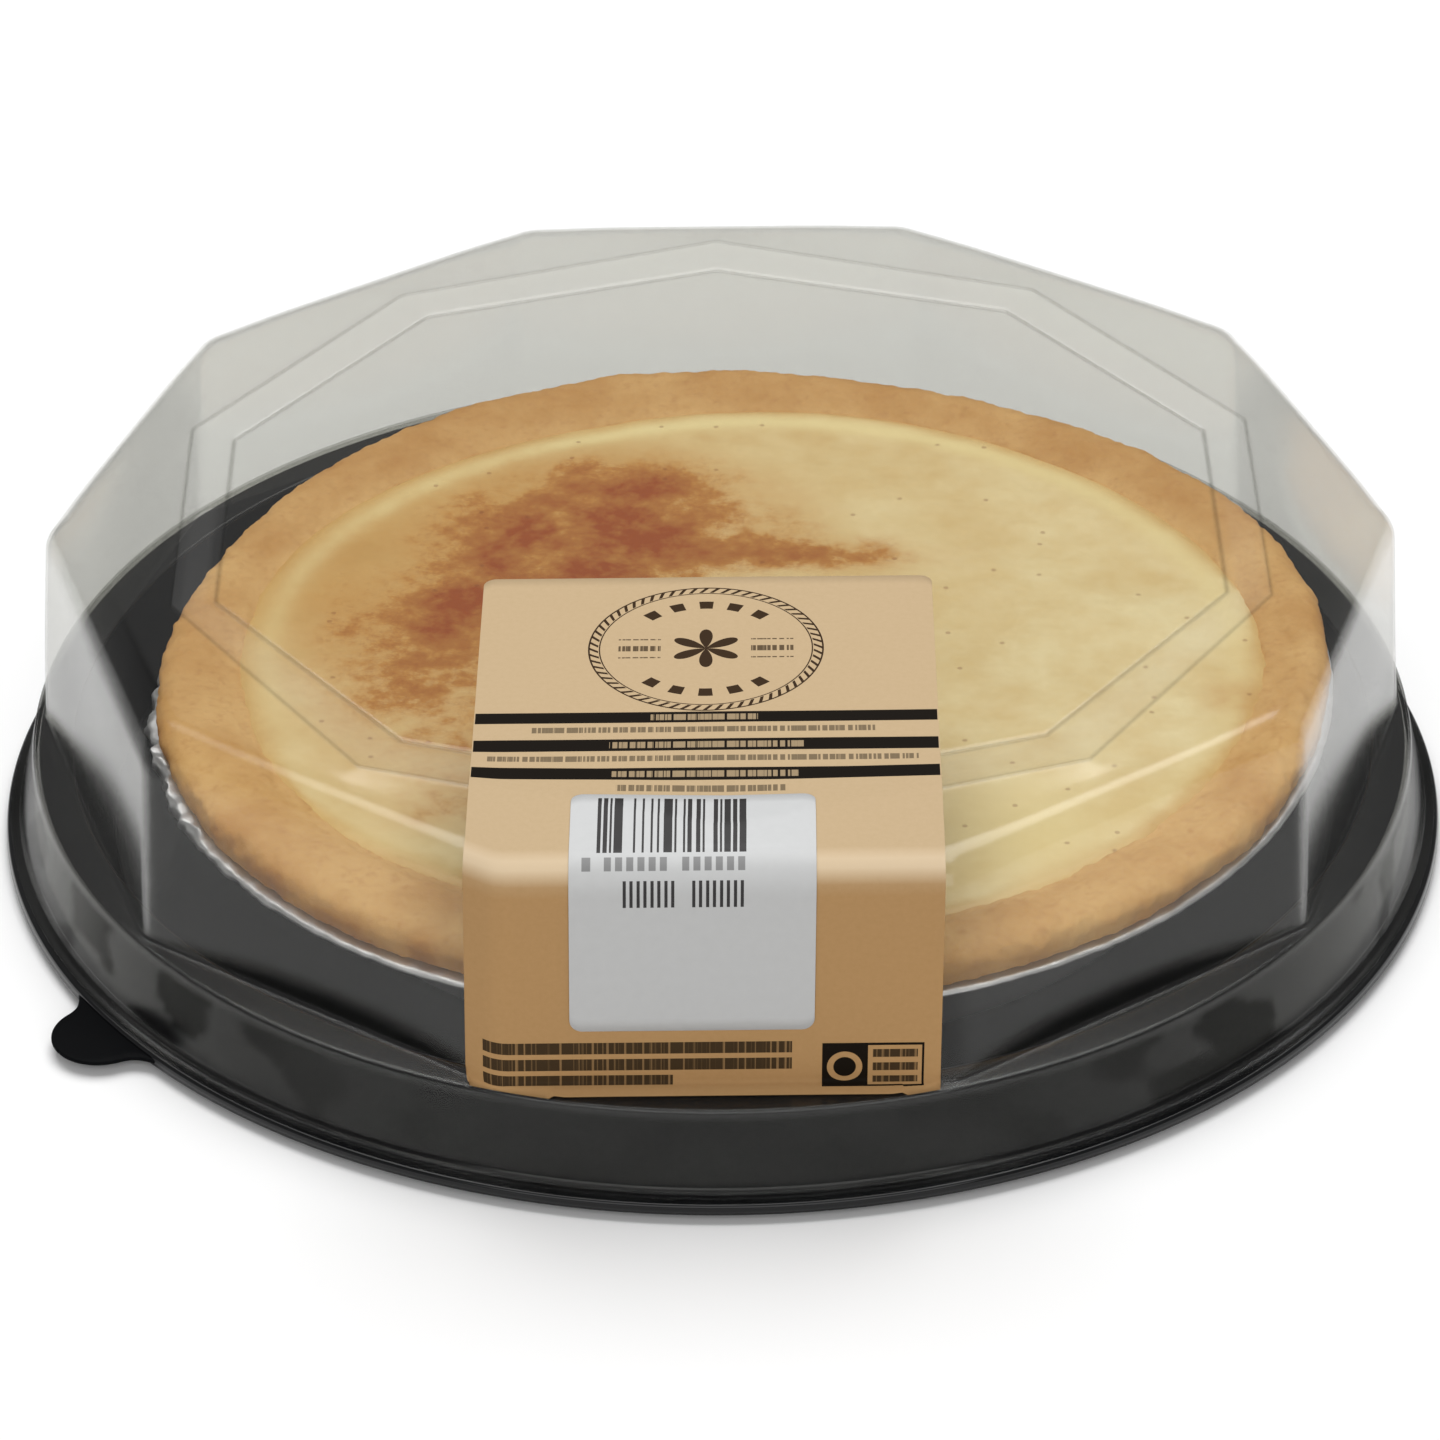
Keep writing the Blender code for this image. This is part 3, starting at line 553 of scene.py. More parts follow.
def uneven_sides(angle, corners):
    """Radius of a ten-sided outline with its own corner distances, at angle degrees.

    A side is the straight line between corners at p and q. The ray that turns by u from the
    first and by v from the second meets it at p q sin(u + v) / (p sin u + q sin v).
    """
    corners = np.asarray(corners)
    from_back = np.abs((angle + 180.0) % 360.0 - 180.0)
    first = np.minimum((from_back / (2 * HALF_SIDE)).astype(int), len(corners) - 2)
    p, q = corners[first], corners[first + 1]
    u = np.radians(from_back - 2 * HALF_SIDE * first)
    v = math.radians(2 * HALF_SIDE) - u
    return p * q * np.sin(u + v) / (p * np.sin(u) + q * np.sin(v))


def even_sides(angle, side):
    """Radius of the walls' outline, whose flats lie at distance side and whose corners are rounded."""
    half = math.radians(HALF_SIDE)
    off = np.abs(angle % (2 * HALF_SIDE) - HALF_SIDE)
    slant = np.radians(HALF_SIDE - off)
    bend = CORNER_CUT / math.tan(half)
    hub = (side - bend) / math.cos(half)
    near = np.radians(off)
    arc = hub * np.cos(near) + np.sqrt(np.maximum(bend ** 2 - (hub * np.sin(near)) ** 2, 0.0))
    return np.where(side * np.tan(slant) > side * math.tan(half) - CORNER_CUT, arc, side / np.cos(slant))


def between(start, end, share):
    """Value a share of the way from start to end."""
    return start + (end - start) * share


def lid_rows(angle):
    """Rows of the lid's outer face from the middle to the lip: (radius, height, line, cloud, gloss).

    line is 1 on the two drawn creases of the top, where the sheet is painted darker as painted
    shade. cloud is how milky the sheet is: faint where it is stretched, and more towards the front
    and down the two front side corners as painted highlight. gloss is how much it mirrors. It is
    least where the skirt touches the tray, and the reflection is painted dimmer as painted shade
    over the front left edge and over the rest of the skirt, most at each side.
    """
    corner = bell(angle % (2 * HALF_SIDE), HALF_SIDE, CORNER_FADE)
    from_back = np.abs((angle + 180.0) % 360.0 - 180.0)
    upright = bell(from_back, 7 * HALF_SIDE, 0.35)
    to_front = 0.5 - 0.5 * np.cos(np.radians(angle))
    # The reflection is painted dimmer over the front left edge and over the skirt, most at each side, as
    # painted shade.
    dimmed_edge = 1.0 - 0.6 * bell(angle, *DIMMED_EDGE)
    skirt_shine = (0.32 + 0.28 * np.sin(np.radians(angle)) ** 2) * (1.0 - 0.75 * bell(from_back, *DIMMED_SIDE))
    touching = sum(bell(angle, *place) for place in TOUCHING)
    panel, ridge = uneven_sides(angle, PANEL_CORNERS), uneven_sides(angle, RIDGE_CORNERS)
    # The panel, its groove, the slope to the ridge, the ridge's bead, and the slope to the edge
    past = np.array([-1.2, -0.6, -0.35, -0.15, 0.0, 0.15, 0.35, 0.6, 1.2])
    groove = (0.0, -0.03, -0.1, -0.17, -0.2, -0.16, -0.08, 0.02, 0.08)
    bead = (-0.08, 0.0, 0.05, 0.08, 0.1, 0.08, 0.05, 0.0, -0.05)
    line = bell(past, 0.0, 0.36)
    flat_end = even_sides(angle, WALL_TOP - EDGE_RADIUS - past[-1])
    rows = [(panel * s, PANEL_Z, 0.0, 0.0, 1.0) for s in (0.03, 0.3, 0.6, 0.85, 0.95)]
    # From here to the bead the sheet is painted milky towards the front, as painted highlight.
    rows += [(panel + d, PANEL_Z + h, k, 0.5 * to_front * (d > 0), 1.0)
             for d, h, k in zip(past, groove, line)]
    rows += [(between(panel, ridge, s), between(PANEL_Z, RIDGE_Z, s), 0.0, to_front, 1.0)
             for s in (0.3, 0.5, 0.7)]
    rows += [(ridge + d, RIDGE_Z + h, k, 0.7 * to_front * (d < 0), 1.0)
             for d, h, k in zip(past, bead, line)]
    rows += [(between(ridge + past[-1], flat_end, s), between(RIDGE_Z + bead[-1], EDGE_Z, s), 0.0, 0.0, 1.0)
             for s in (0.35, 0.7, 1.0)]
    # The rounded edge, the leaning walls and their foot
    radius = EDGE_RADIUS + CORNER_EXTRA * corner
    outline = even_sides(angle, WALL_TOP) / WALL_TOP
    rows += [(outline * (WALL_TOP - radius * (1.0 - math.sin(t))), EDGE_Z - radius * (1.0 - math.cos(t)),
              0.0, 0.25 * math.sin(2 * t), dimmed_edge) for t in np.linspace(0.0, WALL_TURN, 11)]
    top_z = EDGE_Z - radius * (1.0 - math.cos(WALL_TURN))
    # Down the two front side corners the walls are painted milky, as painted highlight.
    rows += [(even_sides(angle, between(WALL_TOP, WALL_FOOT, s)),
              between(top_z, LEDGE_Z + FOOT_RADIUS, s), 0.0, 2.5 * upright, 1.0)
             for s in np.linspace(0.0, 1.0, 12)[1:]]
    # The foot here and the ledge's round edge below are painted faintly milky towards the front, as painted
    # highlight.
    rows += [(even_sides(angle, WALL_FOOT + FOOT_RADIUS * d), LEDGE_Z + FOOT_RADIUS * h, 0.0,
              0.2 * to_front ** 3, 0.8) for d, h in ((0.08, 0.5), (0.3, 0.2), (0.6, 0.04), (1.0, 0.0))]
    # The ledge's round edge, the skirt with its blots, and the lip
    rows += [(SKIRT_TOP - d, LEDGE_Z - h, 0.0, 0.2 * to_front ** 3, 0.7)
             for d, h in ((1.0, 0.0), (0.45, 0.08), (0.12, 0.35), (0.0, SKIRT_DROP))]
    for s in np.linspace(0.0, 1.0, 10)[1:]:
        blots = ripples(around(SKIRT_TOP, 26.0 * s, np.radians(angle)), 20.0, 42)
        blots = rise(blots, 0.375, 0.625) * np.minimum(0.15 + touching, 1.0)
        rows.append((between(SKIRT_TOP, SKIRT_FOOT, s), between(LEDGE_Z - SKIRT_DROP, SKIRT_FOOT_Z, s),
                     0.0, 0.0, skirt_shine * (1.0 - blots)))
    rows += [(r, SKIRT_FOOT_Z - h, 0.0, 0.0, skirt_shine)
             for r, h in ((SKIRT_FOOT + 0.3, 0.6), (SKIRT_FOOT + 0.8, 0.85), (LIP - 0.4, 0.9), (LIP, 0.95))]
    return rows


def lid_rings():
    """Outer face of the lid with the slight waves of a formed sheet in its walls, made a sheet."""
    angle = np.linspace(0.0, 360.0, LID_STEPS, endpoint=False)
    table = np.array([np.broadcast_arrays(*row, angle)[:5] for row in lid_rows(angle)])
    radius, height, *layers = np.moveaxis(table, 1, 0)
    grid = around(radius, height, np.radians(angle))
    in_wall = rise(height, EDGE_Z - 6.0, EDGE_Z - 14.0) * rise(height, 21.0, 29.0)
    grid += outward_normals(grid) * (in_wall * 0.09 * ripples(grid, 46.0, 41))[..., None]
    return walled(grid, LID_SHEET), [np.concatenate([layer, layer[::-1]]) for layer in layers]


# Clear PET sheet: each face mirrors by its Fresnel share and lets the rest through, slightly
# grey. PET has IOR 1.57; the lower number matches how weakly the thin, scuffed sheet mirrors.
# Creases are painted darker as painted shade, and stretched parts are faintly milky; more milk
# towards the front and down the two front side corners is painted highlight. The reflection is
# painted dimmer over the front left edge and the skirt, as painted shade. Lamps shine through
# without a shadow.
clear_pet, tree = new_finish("clear_pet")
line, cloud, gloss = (add(tree, "Attribute", attribute_name=layer).outputs["Fac"]
                      for layer in ("line", "cloud", "gloss"))
inner_face = add(tree, "NewGeometry").outputs["Backfacing"]
bending = add(tree, "Mix", {0: inner_face, 2: SHEET_IOR, 3: 1.0 / SHEET_IOR}, data_type="FLOAT")
mirror = add(tree, "Fresnel", {"IOR": bending})
# The see-through tint is painted darker on the creases, as painted shade.
tint = add(tree, "Mix", {0: line, 6: "#f2f2f0", 7: "#ddddda"}, data_type="RGBA")
silver = add(tree, "Mix", {0: gloss, 6: "#000000", 7: "#ffffff"}, data_type="RGBA")
through = add(tree, "BsdfTransparent", {"Color": tint})
# Milk on the front bands and the two front side corners is painted highlight.
milk = add(tree, "BsdfDiffuse", {"Color": "#ededed"})
milky = add(tree, "Math", (cloud, 0.035), operation="MULTIPLY")
body = add(tree, "MixShader", (milky, through, milk))
shine = add(tree, "BsdfGlossy", {"Color": silver, "Roughness": 0.17})
both = add(tree, "MixShader", (mirror, body, shine))
open_air = add(tree, "BsdfTransparent", {"Color": "#ffffff"})
shadow = add(tree, "LightPath").outputs["Is Shadow Ray"]
surface = add(tree, "MixShader", (shadow, both, open_air))
add(tree, "OutputMaterial", (surface,))

sheet_rings, sheet_layers = lid_rings()
lid = add_rings("clear_lid", sheet_rings, clear_pet)
for name, layer in zip(("line", "cloud", "gloss"), sheet_layers):
    add_layer(lid, name, layer)
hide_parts("lid")

# Paper label
# Brown uncoated label paper, stuck a little askew on the lid's top and folded over its front
# edge and left front corner down to the ledge. It is printed with an emblem, bars and rows.
LABEL_LEFT, LABEL_RIGHT, LABEL_START, LABEL_BEND = -44.6, 37.2, 24.3, 82.0
LABEL_LEAN, LABEL_LEAN_FROM = -0.0125, 100.0
LABEL_ON_LEDGE, LABEL_LIFT, PAPER_SHEET, LABEL_ROUND = 3.2, 0.34, 0.2, 2.4


def top_height(x, y):
    """Height of the lid's top at (x, y): panel, slope to the ridge, then slope to the rounded edge."""
    angle, radius = np.degrees(np.arctan2(x, y)), np.hypot(x, y)
    panel, ridge = uneven_sides(angle, PANEL_CORNERS), uneven_sides(angle, RIDGE_CORNERS)
    end = even_sides(angle, WALL_TOP - EDGE_RADIUS)
    return PANEL_Z + rise(radius, panel, ridge) * (RIDGE_Z - PANEL_Z) \
        + rise(radius, ridge, end) * (EDGE_Z - RIDGE_Z)


def front_side(x, side):
    """Distance forward of the lid's front walls at sideways position x, round its two corners."""
    half, turn = math.radians(HALF_SIDE), math.radians(2 * HALF_SIDE)
    bend = CORNER_CUT / math.tan(half)
    away = np.abs(x) - (side - bend) * math.tan(half)
    arc = side - bend + np.sqrt(np.maximum(bend ** 2 - np.maximum(away, 0.0) ** 2, 0.0))
    straight = (side - np.abs(x) * math.sin(turn)) / math.cos(turn)
    return np.where(away <= 0.0, side, np.where(away < bend * math.sin(turn), arc, straight))


def fold_profile():
    """Middle line of the fold, over the top, the edge's arc, the wall and the ledge.

    It is given as distance forward, height, and length so far, summed from its steps.
    """
    flat = np.arange(LABEL_START, WALL_TOP - EDGE_RADIUS, 1.0)
    turn = np.linspace(0.0, WALL_TURN, 14)
    edge_y, edge_z = WALL_TOP - EDGE_RADIUS * (1 - np.sin(turn)), EDGE_Z - EDGE_RADIUS * (1 - np.cos(turn))
    s = np.linspace(0.0, 1.0, 24)[1:]
    wall_y, wall_z = edge_y[-1] + (WALL_FOOT - edge_y[-1]) * s, edge_z[-1] + (LEDGE_Z + 1.6 - edge_z[-1]) * s
    foot_y = WALL_FOOT + np.array([0.12, 0.45, 1.0, 1.7, FOOT_RADIUS + LABEL_ON_LEDGE])
    foot_z = LEDGE_Z + np.array([1.1, 0.55, 0.2, 0.04, 0.0])
    forward_y = np.concatenate([flat, edge_y, wall_y, foot_y])
    height = np.concatenate([top_height(0.0 * flat, -flat), edge_z, wall_z, foot_z])
    steps = np.hypot(np.diff(forward_y), np.diff(height))
    return forward_y, height, np.concatenate([[0.0], np.cumsum(steps)])


FOLD_Y, FOLD_Z, FOLD_LENGTH = fold_profile()
FLAT_LENGTH = np.interp(WALL_TOP - EDGE_RADIUS, FOLD_Y, FOLD_LENGTH)


def on_lid(x, v):
    """Point of the lid's outside under the label, at sideways position x and length v down the fold."""
    forward_y, height = np.interp(v, FOLD_LENGTH, FOLD_Y), np.interp(v, FOLD_LENGTH, FOLD_Z)
    side = np.clip(forward_y, WALL_TOP, WALL_FOOT + FOOT_RADIUS)
    ease = rise(forward_y, LABEL_BEND, WALL_TOP)
    y = -(forward_y - (side - front_side(x, side)) * ease ** 2 * (3.0 - 2.0 * ease))
    y = np.where(forward_y > WALL_FOOT + 0.4, -np.minimum(-y, np.sqrt((SKIRT_TOP - 1.0) ** 2 - x ** 2)), y)
    z = np.where(v < FLAT_LENGTH, top_height(x, y), height)
    return np.stack([x + 0.0 * z, y, z], axis=-1)


def over_lid(x, v, lift):
    """The same point raised by lift along the lid's normal."""
    reach = 0.5
    across = on_lid(x + reach, v) - on_lid(x - reach, v)
    down = on_lid(x, v + reach) - on_lid(x, v - reach)
    normal = np.cross(down, across)
    return on_lid(x, v) + normal / np.linalg.norm(normal, axis=-1, keepdims=True) * lift


def add_paper(name, left, right_side, start, end, lift, corner, material):
    """Sheet of paper on the fold: a grid with rounded corners, its copy under it, and a closed rim.

    A UV map holds the distance across and down the sheet in millimetres.
    """
    soft = corner * (1.0 - np.cos(np.linspace(0.0, np.pi / 2, 9)))
    straight = np.arange(left + corner, right_side - corner, 0.8)[1:]
    x = np.concatenate([left + soft, straight, right_side - soft[::-1]])
    in_corner = np.maximum(corner - np.minimum(x - left, right_side - x), 0.0)
    inset = corner - np.sqrt(np.maximum(corner ** 2 - in_corner ** 2, 0.0))
    inner = FOLD_LENGTH[(FOLD_LENGTH > start + corner + 0.3) & (FOLD_LENGTH < end - corner - 0.3)]
    share = np.concatenate([[0.0], (inner - start) / (end - start), [1.0]])
    v = start + inset[:, None] + share * (end - start - 2 * inset[:, None])
    across = np.repeat(x[:, None], len(share), axis=1)
    leant = across + LABEL_LEAN * (v - LABEL_LEAN_FROM)
    buckle = 0.03 * ripples(np.stack([across, v, 0 * v], axis=-1), 26.0, 51)
    under, top = over_lid(leant, v, lift), over_lid(leant, v, lift + PAPER_SHEET)
    top[..., 2] += np.maximum(buckle, 0.0) * (v < FLAT_LENGTH)
    columns, rows = across.shape
    number = np.arange(columns * rows).reshape(columns, rows)
    a, b, c, d = number[:-1, :-1], number[:-1, 1:], number[1:, 1:], number[1:, :-1]
    under_faces = np.stack([a, d, c, b], axis=-1).reshape(-1, 4)
    top_faces = np.stack([a, b, c, d], axis=-1).reshape(-1, 4) + number.size
    rim = np.concatenate([number[0], number[1:, -1], number[-1, -2::-1], number[-2:0:-1, 0]])
    ahead = np.roll(rim, -1)
    rim_faces = np.stack([rim, ahead, ahead + number.size, rim + number.size], axis=-1)
    faces = np.concatenate([under_faces, top_faces, rim_faces])
    points = np.concatenate([under.reshape(-1, 3), top.reshape(-1, 3)])
    piece = add_piece(name, points, faces.tolist(), material)
    flat = np.stack([across.ravel(), v.ravel()], axis=-1)
    chart = np.concatenate([flat, flat])[faces.ravel()]
    piece.data.uv_layers.new(name="sheet").data.foreach_set("uv", chart.astype(np.float32).ravel())
    return piece


def combined(tree, operation, masks):
    """One mask from several, by MAXIMUM (inside any of them) or MULTIPLY (inside all of them)."""
    total = masks[0]
    for mask in masks[1:]:
        total = add(tree, "Math", (total, mask), operation=operation)
    return total


def boxes(tree, axes, edges):
    """Mask of printed boxes, each (left, right, top, bottom): 1 inside any of them.

    A box is where its band across the sheet and its band down the sheet are both 1.
    """
    masks = []
    for left, right_side, top, bottom in edges:
        bands = [add(tree, "Math", (axes.outputs[k], (low + high) / 2, (high - low) / 2), operation="COMPARE")
                 for k, low, high in ((0, left, right_side), (1, top, bottom))]
        masks.append(combined(tree, "MULTIPLY", bands))
    return combined(tree, "MAXIMUM", masks)


def ring(tree, distance, radius, half):
    """Mask of a ring: 1 where the distance is within half of the radius."""
    return add(tree, "Math", (distance, radius, half), operation="COMPARE")


def lit_top_paper(tree, fibre, down, front, top):
    """Paper's colour: fibre mixes two shades, and both are painted paler on the lid's top, as painted light.
    """
    shades = [add(tree, "Mix", {0: fibre, 6: dark, 7: light}, data_type="RGBA")
              for dark, light in (front, top)]
    on_top = add(tree, "MapRange", (down, LIT_TOP_UNTIL, LIT_TOP_GONE_FROM, 1.0, 0.0))
    return add(tree, "Mix", {0: on_top, 6: shades[0], 7: shades[1]}, data_type="RGBA")


# Print on the label, as boxes (left, right, top, bottom) in millimetres across and down the sheet
BARS = [(-44.4, 37.0, 46.3, 49.8), (-44.4, 37.0, 55.2, 59.0), (-44.4, 37.0, 64.6, 68.6)]
BAR_DASHES = [(-13.5, 5.4, 47.1, 49.0), (-20.6, 13.4, 56.1, 58.1), (-20.0, 12.4, 65.6, 67.6)]
ROWS = [(-34.3, 26.0, 51.2, 53.0), (-41.8, 33.4, 60.6, 62.4), (-19.2, 10.6, 70.4, 72.6)]
FINE_ROWS = [(-41.5, 11.5, 127.6, 129.9), (-41.5, 11.5, 130.9, 133.2), (-41.5, -9.0, 134.2, 136.6)]
STAMP = [(16.7, 24.6, 128.1, 137.6), (24.6, 34.3, 128.1, 128.6), (24.6, 34.3, 137.1, 137.6),
         (33.9, 34.3, 128.1, 137.6)]
STAMP_ROWS = [(25.4, 33.2, top, top + 1.6) for top in (129.4, 132.1, 134.8)]
FLANKS = [(left, left + 7.6, top, bottom) for left in (-19.6, 4.2)
          for top, bottom in ((21.6, 22.0), (24.0, 25.8), (27.8, 28.2))]
EMBLEM_AT, STAMP_RING_AT = (-3.9, 24.9, 0.0), (20.6, 132.9, 0.0)
# Where along the sheet the painted light on the lid's top ends, and where the fold's painted highlight lies
LIT_TOP_UNTIL, LIT_TOP_GONE_FROM, FOLD_AT = 90.0, 99.0, 93.5

# Brown label paper: uncoated, fibres of a few millimetres, with matt near-black ink. The part on
# the lid's top is painted paler, as painted light, and the fold carries a painted highlight.
# Paper has IOR 1.5; the lower number keeps the ink dark.
kraft, tree = new_finish("kraft_label_paper")
chart = add(tree, "UVMap", uv_map="sheet")
axes = add(tree, "SeparateXYZ", (chart,))
across, down = axes.outputs["X"], axes.outputs["Y"]
bars, bar_dashes, rows, fine_rows, stamp, stamp_rows, flanks = (
    boxes(tree, axes, edges) for edges in (BARS, BAR_DASHES, ROWS, FINE_ROWS, STAMP, STAMP_ROWS, FLANKS))
# Rows are broken into dashes of random length, about half a millimetre to two millimetres
broken_up = add(tree, "TexNoise", {"W": across, "Scale": 1.6, "Detail": 2.0}, noise_dimensions="1D")
dash = add(tree, "MapRange", (broken_up, 0.40, 0.46, 0.0, 0.85))
dense = add(tree, "MapRange", (broken_up, 0.33, 0.45, 0.45, 0.9))
faint = add(tree, "Math", (dash, 0.75), operation="MULTIPLY")
small = [combined(tree, "MULTIPLY", pair)
         for pair in ((rows, faint), (fine_rows, dense), (stamp_rows, dense))]
# Emblem: a twisted ring, an arc of dashes above and below, a short row at each side, a rosette
off_x = add(tree, "Math", (across, EMBLEM_AT[0]), operation="SUBTRACT")
off_y = add(tree, "Math", (down, EMBLEM_AT[1]), operation="SUBTRACT")
turn = add(tree, "Math", (off_x, off_y), operation="ARCTAN2")
reach = add(tree, "VectorMath", (chart, EMBLEM_AT), operation="DISTANCE")
slant = add(tree, "Math", (reach, 2.5), operation="MULTIPLY")
twist = add(tree, "Math", (turn, 64.0, slant), operation="MULTIPLY_ADD")
strands = add(tree, "Math", (add(tree, "Math", (twist,), operation="SINE"), 0.4), operation="GREATER_THAN")
spokes = add(tree, "Math", (turn, 18.0), operation="MULTIPLY")
spaced = add(tree, "Math", (add(tree, "Math", (spokes,), operation="COSINE"), 0.1), operation="GREATER_THAN")
# Absolute cosines of the turn itself, for the two arcs, and of three turns, for six petals
upright, petal = (add(tree, "Math", (add(tree, "Math", (angle,), operation="COSINE"),), operation="ABSOLUTE")
                  for angle in (turn, add(tree, "Math", (turn, 3.0), operation="MULTIPLY")))
arcs = add(tree, "Math", (upright, 0.643), operation="GREATER_THAN")
petal_length = add(tree, "Math", (petal, 6.5), operation="MULTIPLY")
emblem = combined(tree, "MAXIMUM", [
    ring(tree, reach, 21.0, 0.16), ring(tree, reach, 19.1, 0.12),
    combined(tree, "MULTIPLY", [ring(tree, reach, 20.1, 0.75), strands]),
    combined(tree, "MULTIPLY", [ring(tree, reach, 15.0, 1.25), spaced, arcs]),
    combined(tree, "MULTIPLY", [flanks, dash]),
    add(tree, "Math", (reach, petal_length), operation="LESS_THAN")])
# Dashes in the bars and a ring in the stamp are left in the paper's colour
from_stamp = add(tree, "VectorMath", (chart, STAMP_RING_AT), operation="DISTANCE")
bare = combined(tree, "MAXIMUM", [combined(tree, "MULTIPLY", [bar_dashes, faint]),
                                  ring(tree, from_stamp, 2.5, 0.55)])
inked = add(tree, "Math", (1.0, bare), operation="SUBTRACT")
solid = combined(tree, "MULTIPLY", [combined(tree, "MAXIMUM", [bars, stamp]), inked])
fibre = add(tree, "TexNoise", {"Vector": chart, "Scale": 0.9, "Detail": 6.0, "Roughness": 0.7})
brown = lit_top_paper(tree, fibre, down, ("#a68154", "#b28d61"), ("#bda47f", "#c8af8c"))
# A pale band along the fold is a painted highlight.
past_fold = add(tree, "Math", (down, FOLD_AT), operation="SUBTRACT")
from_fold = add(tree, "Math", (past_fold,), operation="ABSOLUTE")
fold_highlight = add(tree, "MapRange", (from_fold, 0.8, 3.5, 0.75, 0.0))
fold_highlighted = add(tree, "Mix", {0: fold_highlight, 6: brown, 7: "#dcc7a8"}, data_type="RGBA")
sketched = add(tree, "Mix", {0: emblem, 6: fold_highlighted, 7: "#3a2a1a"}, data_type="RGBA")
printed = add(tree, "Mix", {0: combined(tree, "MAXIMUM", [solid, *small]), 6: sketched, 7: "#150f08"},
              data_type="RGBA")
tooth = add(tree, "Bump", {"Height": fibre, "Strength": 0.12, "Distance": 0.0002})
surface = add(tree, "BsdfPrincipled", {"Base Color": printed, "Roughness": 0.55, "IOR": 1.14,
                                       "Normal": tooth})
add(tree, "OutputMaterial", (surface,))

label = add_paper("paper_label", LABEL_LEFT, LABEL_RIGHT, 0.0, float(FOLD_LENGTH[-1]), LABEL_LIFT,
                  LABEL_ROUND, kraft)
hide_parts("label")

# Price sticker
# A white thermal sticker over the fold of the label, printed with upright bars of random
# widths and rows of plain dashes.
STICKER_LEFT, STICKER_RIGHT, STICKER_START, STICKER_FOOT, STICKER_ROUND = -26.8, 15.3, 98.6, 31.1, 2.2
STICKER_LIFT = LABEL_LIFT + PAPER_SHEET + 0.08
sticker_top = float(np.interp(STICKER_START, FOLD_Y, FOLD_LENGTH))
past_edge = FOLD_Y >= WALL_TOP - 1.0
sticker_end = float(np.interp(-STICKER_FOOT, -FOLD_Z[past_edge], FOLD_LENGTH[past_edge]))
# Print on the sticker, as boxes like the label's: where the upright bars stand, a row of short
# dashes under them with a gap in the middle, and a row of tall strokes in pairs
CODE_AREA, CODE_STRIPE = [(-22.1, 3.4, 75.6, 91.4)], 0.37
DASHES = [(left, left + 1.2, 92.3, 94.6) for left in -20.8 + 1.9 * np.delete(np.arange(13), 6)]
DASHES.append((-24.6, -23.1, 92.3, 94.6))
STROKES = [(left + d, left + d + 0.55, 96.1, 100.6) for left in -17.6 + 2.36 * np.delete(np.arange(9), 4)
           for d in (0.0, 1.15)]

# Coated white sticker paper: smooth, with grey-black thermal print, painted paler on the lid's top as painted
# light.
thermal, tree = new_finish("thermal_sticker_paper")
chart = add(tree, "UVMap", uv_map="sheet")
axes = add(tree, "SeparateXYZ", (chart,))
across, down = axes.outputs["X"], axes.outputs["Y"]
code_area, dashes, strokes = (boxes(tree, axes, edges) for edges in (CODE_AREA, DASHES, STROKES))
cell = add(tree, "Math", (across, CODE_STRIPE), operation="SNAP")
chance = add(tree, "TexWhiteNoise", {"W": cell}, noise_dimensions="1D")
stripe = add(tree, "Math", (chance, 0.5), operation="GREATER_THAN")
pale_dashes = add(tree, "Math", (dashes, 0.6), operation="MULTIPLY")
code = combined(tree, "MULTIPLY", [code_area, stripe])
ink = combined(tree, "MAXIMUM", [code, strokes, pale_dashes])
mottle = add(tree, "TexNoise", {"Vector": chart, "Scale": 0.5, "Detail": 4.0})
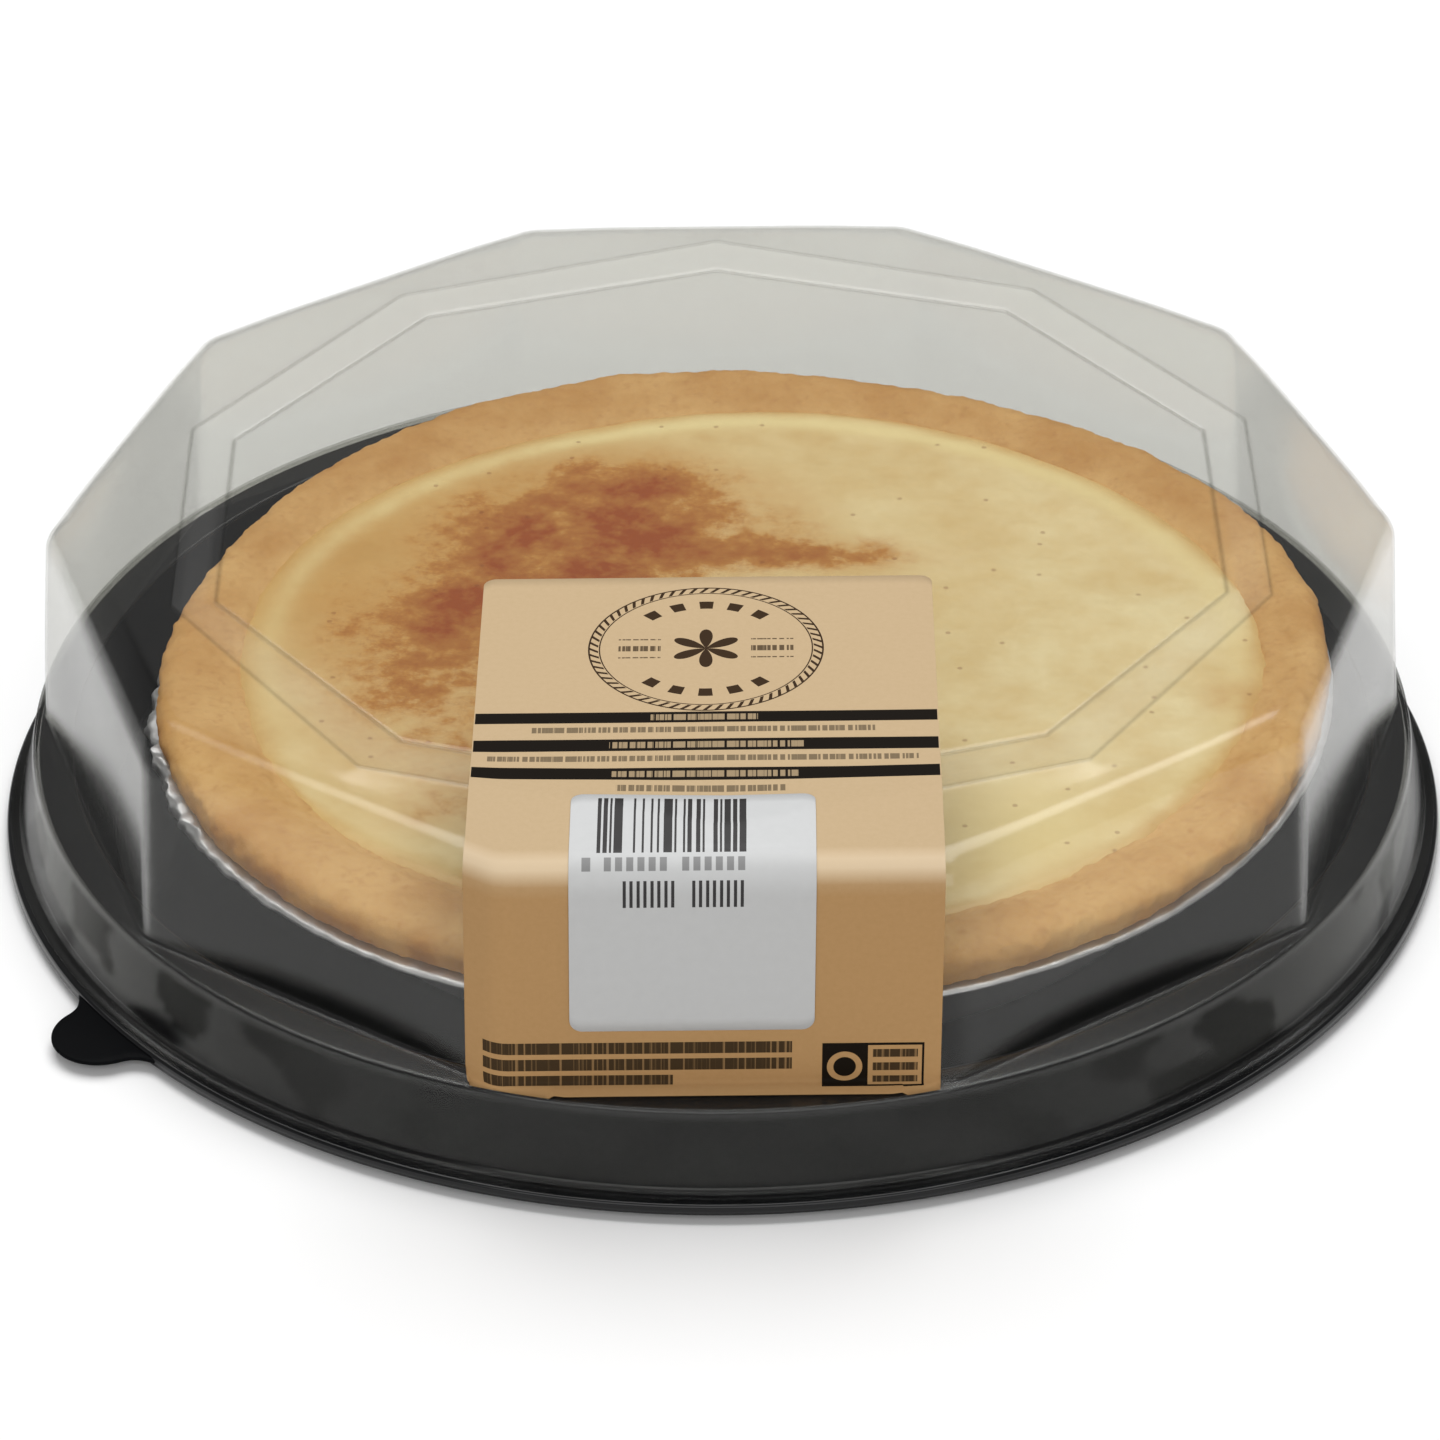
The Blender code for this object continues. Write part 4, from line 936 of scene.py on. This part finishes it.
# Both shades are painted paler on the lid's top, as painted light.
white = lit_top_paper(tree, mottle, down, ("#b5b5b4", "#bbbbba"), ("#c6c7c7", "#cccdcd"))
printed = add(tree, "Mix", {0: ink, 6: white, 7: "#2a2828"}, data_type="RGBA")
surface = add(tree, "BsdfPrincipled", {"Base Color": printed, "Roughness": 0.45, "IOR": 1.35})
add(tree, "OutputMaterial", (surface,))

sticker = add_paper("white_sticker", STICKER_LEFT, STICKER_RIGHT, sticker_top, sticker_end, STICKER_LIFT,
                    STICKER_ROUND, thermal)
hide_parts("price_sticker")

# Table and light
# A white table, one large softbox overhead and a wider, weaker one behind the camera, in a
# slightly lit room, so that the top of the pack is brightest and the walls mirror the table.
HALF_TABLE = 4.0
ROOM_LIGHT = 0.24
PACK_MIDDLE = Vector((0.0, 0.0, 0.03))
# Softboxes as (name, place in metres, width, depth, watts)
SOFTBOXES = (("overhead", (0.0, 0.45, 1.5), 1.5, 1.5, 23.5), ("front", (0.0, -2.2, 1.3), 3.2, 1.8, 32.0))

table_paint, tree = new_finish("white_table")
surface = add(tree, "BsdfDiffuse", {"Color": "#f7f7f7"})
add(tree, "OutputMaterial", (surface,))
table_mesh = bpy.data.meshes.new("table")
corners = [(x * HALF_TABLE, y * HALF_TABLE, 0.0) for x, y in ((-1, -1), (1, -1), (1, 1), (-1, 1))]
table_mesh.from_pydata(corners, [], [(0, 1, 2, 3)])
table_mesh.materials.append(table_paint)
table = bpy.data.objects.new("table", table_mesh)
bpy.context.scene.collection.objects.link(table)

room = bpy.data.worlds.new("room")
room.use_nodes = True
room.node_tree.nodes["Background"].inputs["Color"].default_value = paint("#ffffff")
room.node_tree.nodes["Background"].inputs["Strength"].default_value = ROOM_LIGHT
bpy.context.scene.world = room

for name, at, wide, deep, watts in SOFTBOXES:
    light = bpy.data.lights.new(name, "AREA")
    light.shape = "RECTANGLE"
    light.size, light.size_y, light.energy = wide, deep, watts
    lamp = bpy.data.objects.new(name, light)
    bpy.context.scene.collection.objects.link(lamp)
    aim = PACK_MIDDLE - Vector(at)
    lamp.matrix_world = Matrix.Translation(at) @ aim.to_track_quat("-Z", "Y").to_matrix().to_4x4()

bpy.context.scene.view_settings.view_transform = "Standard"
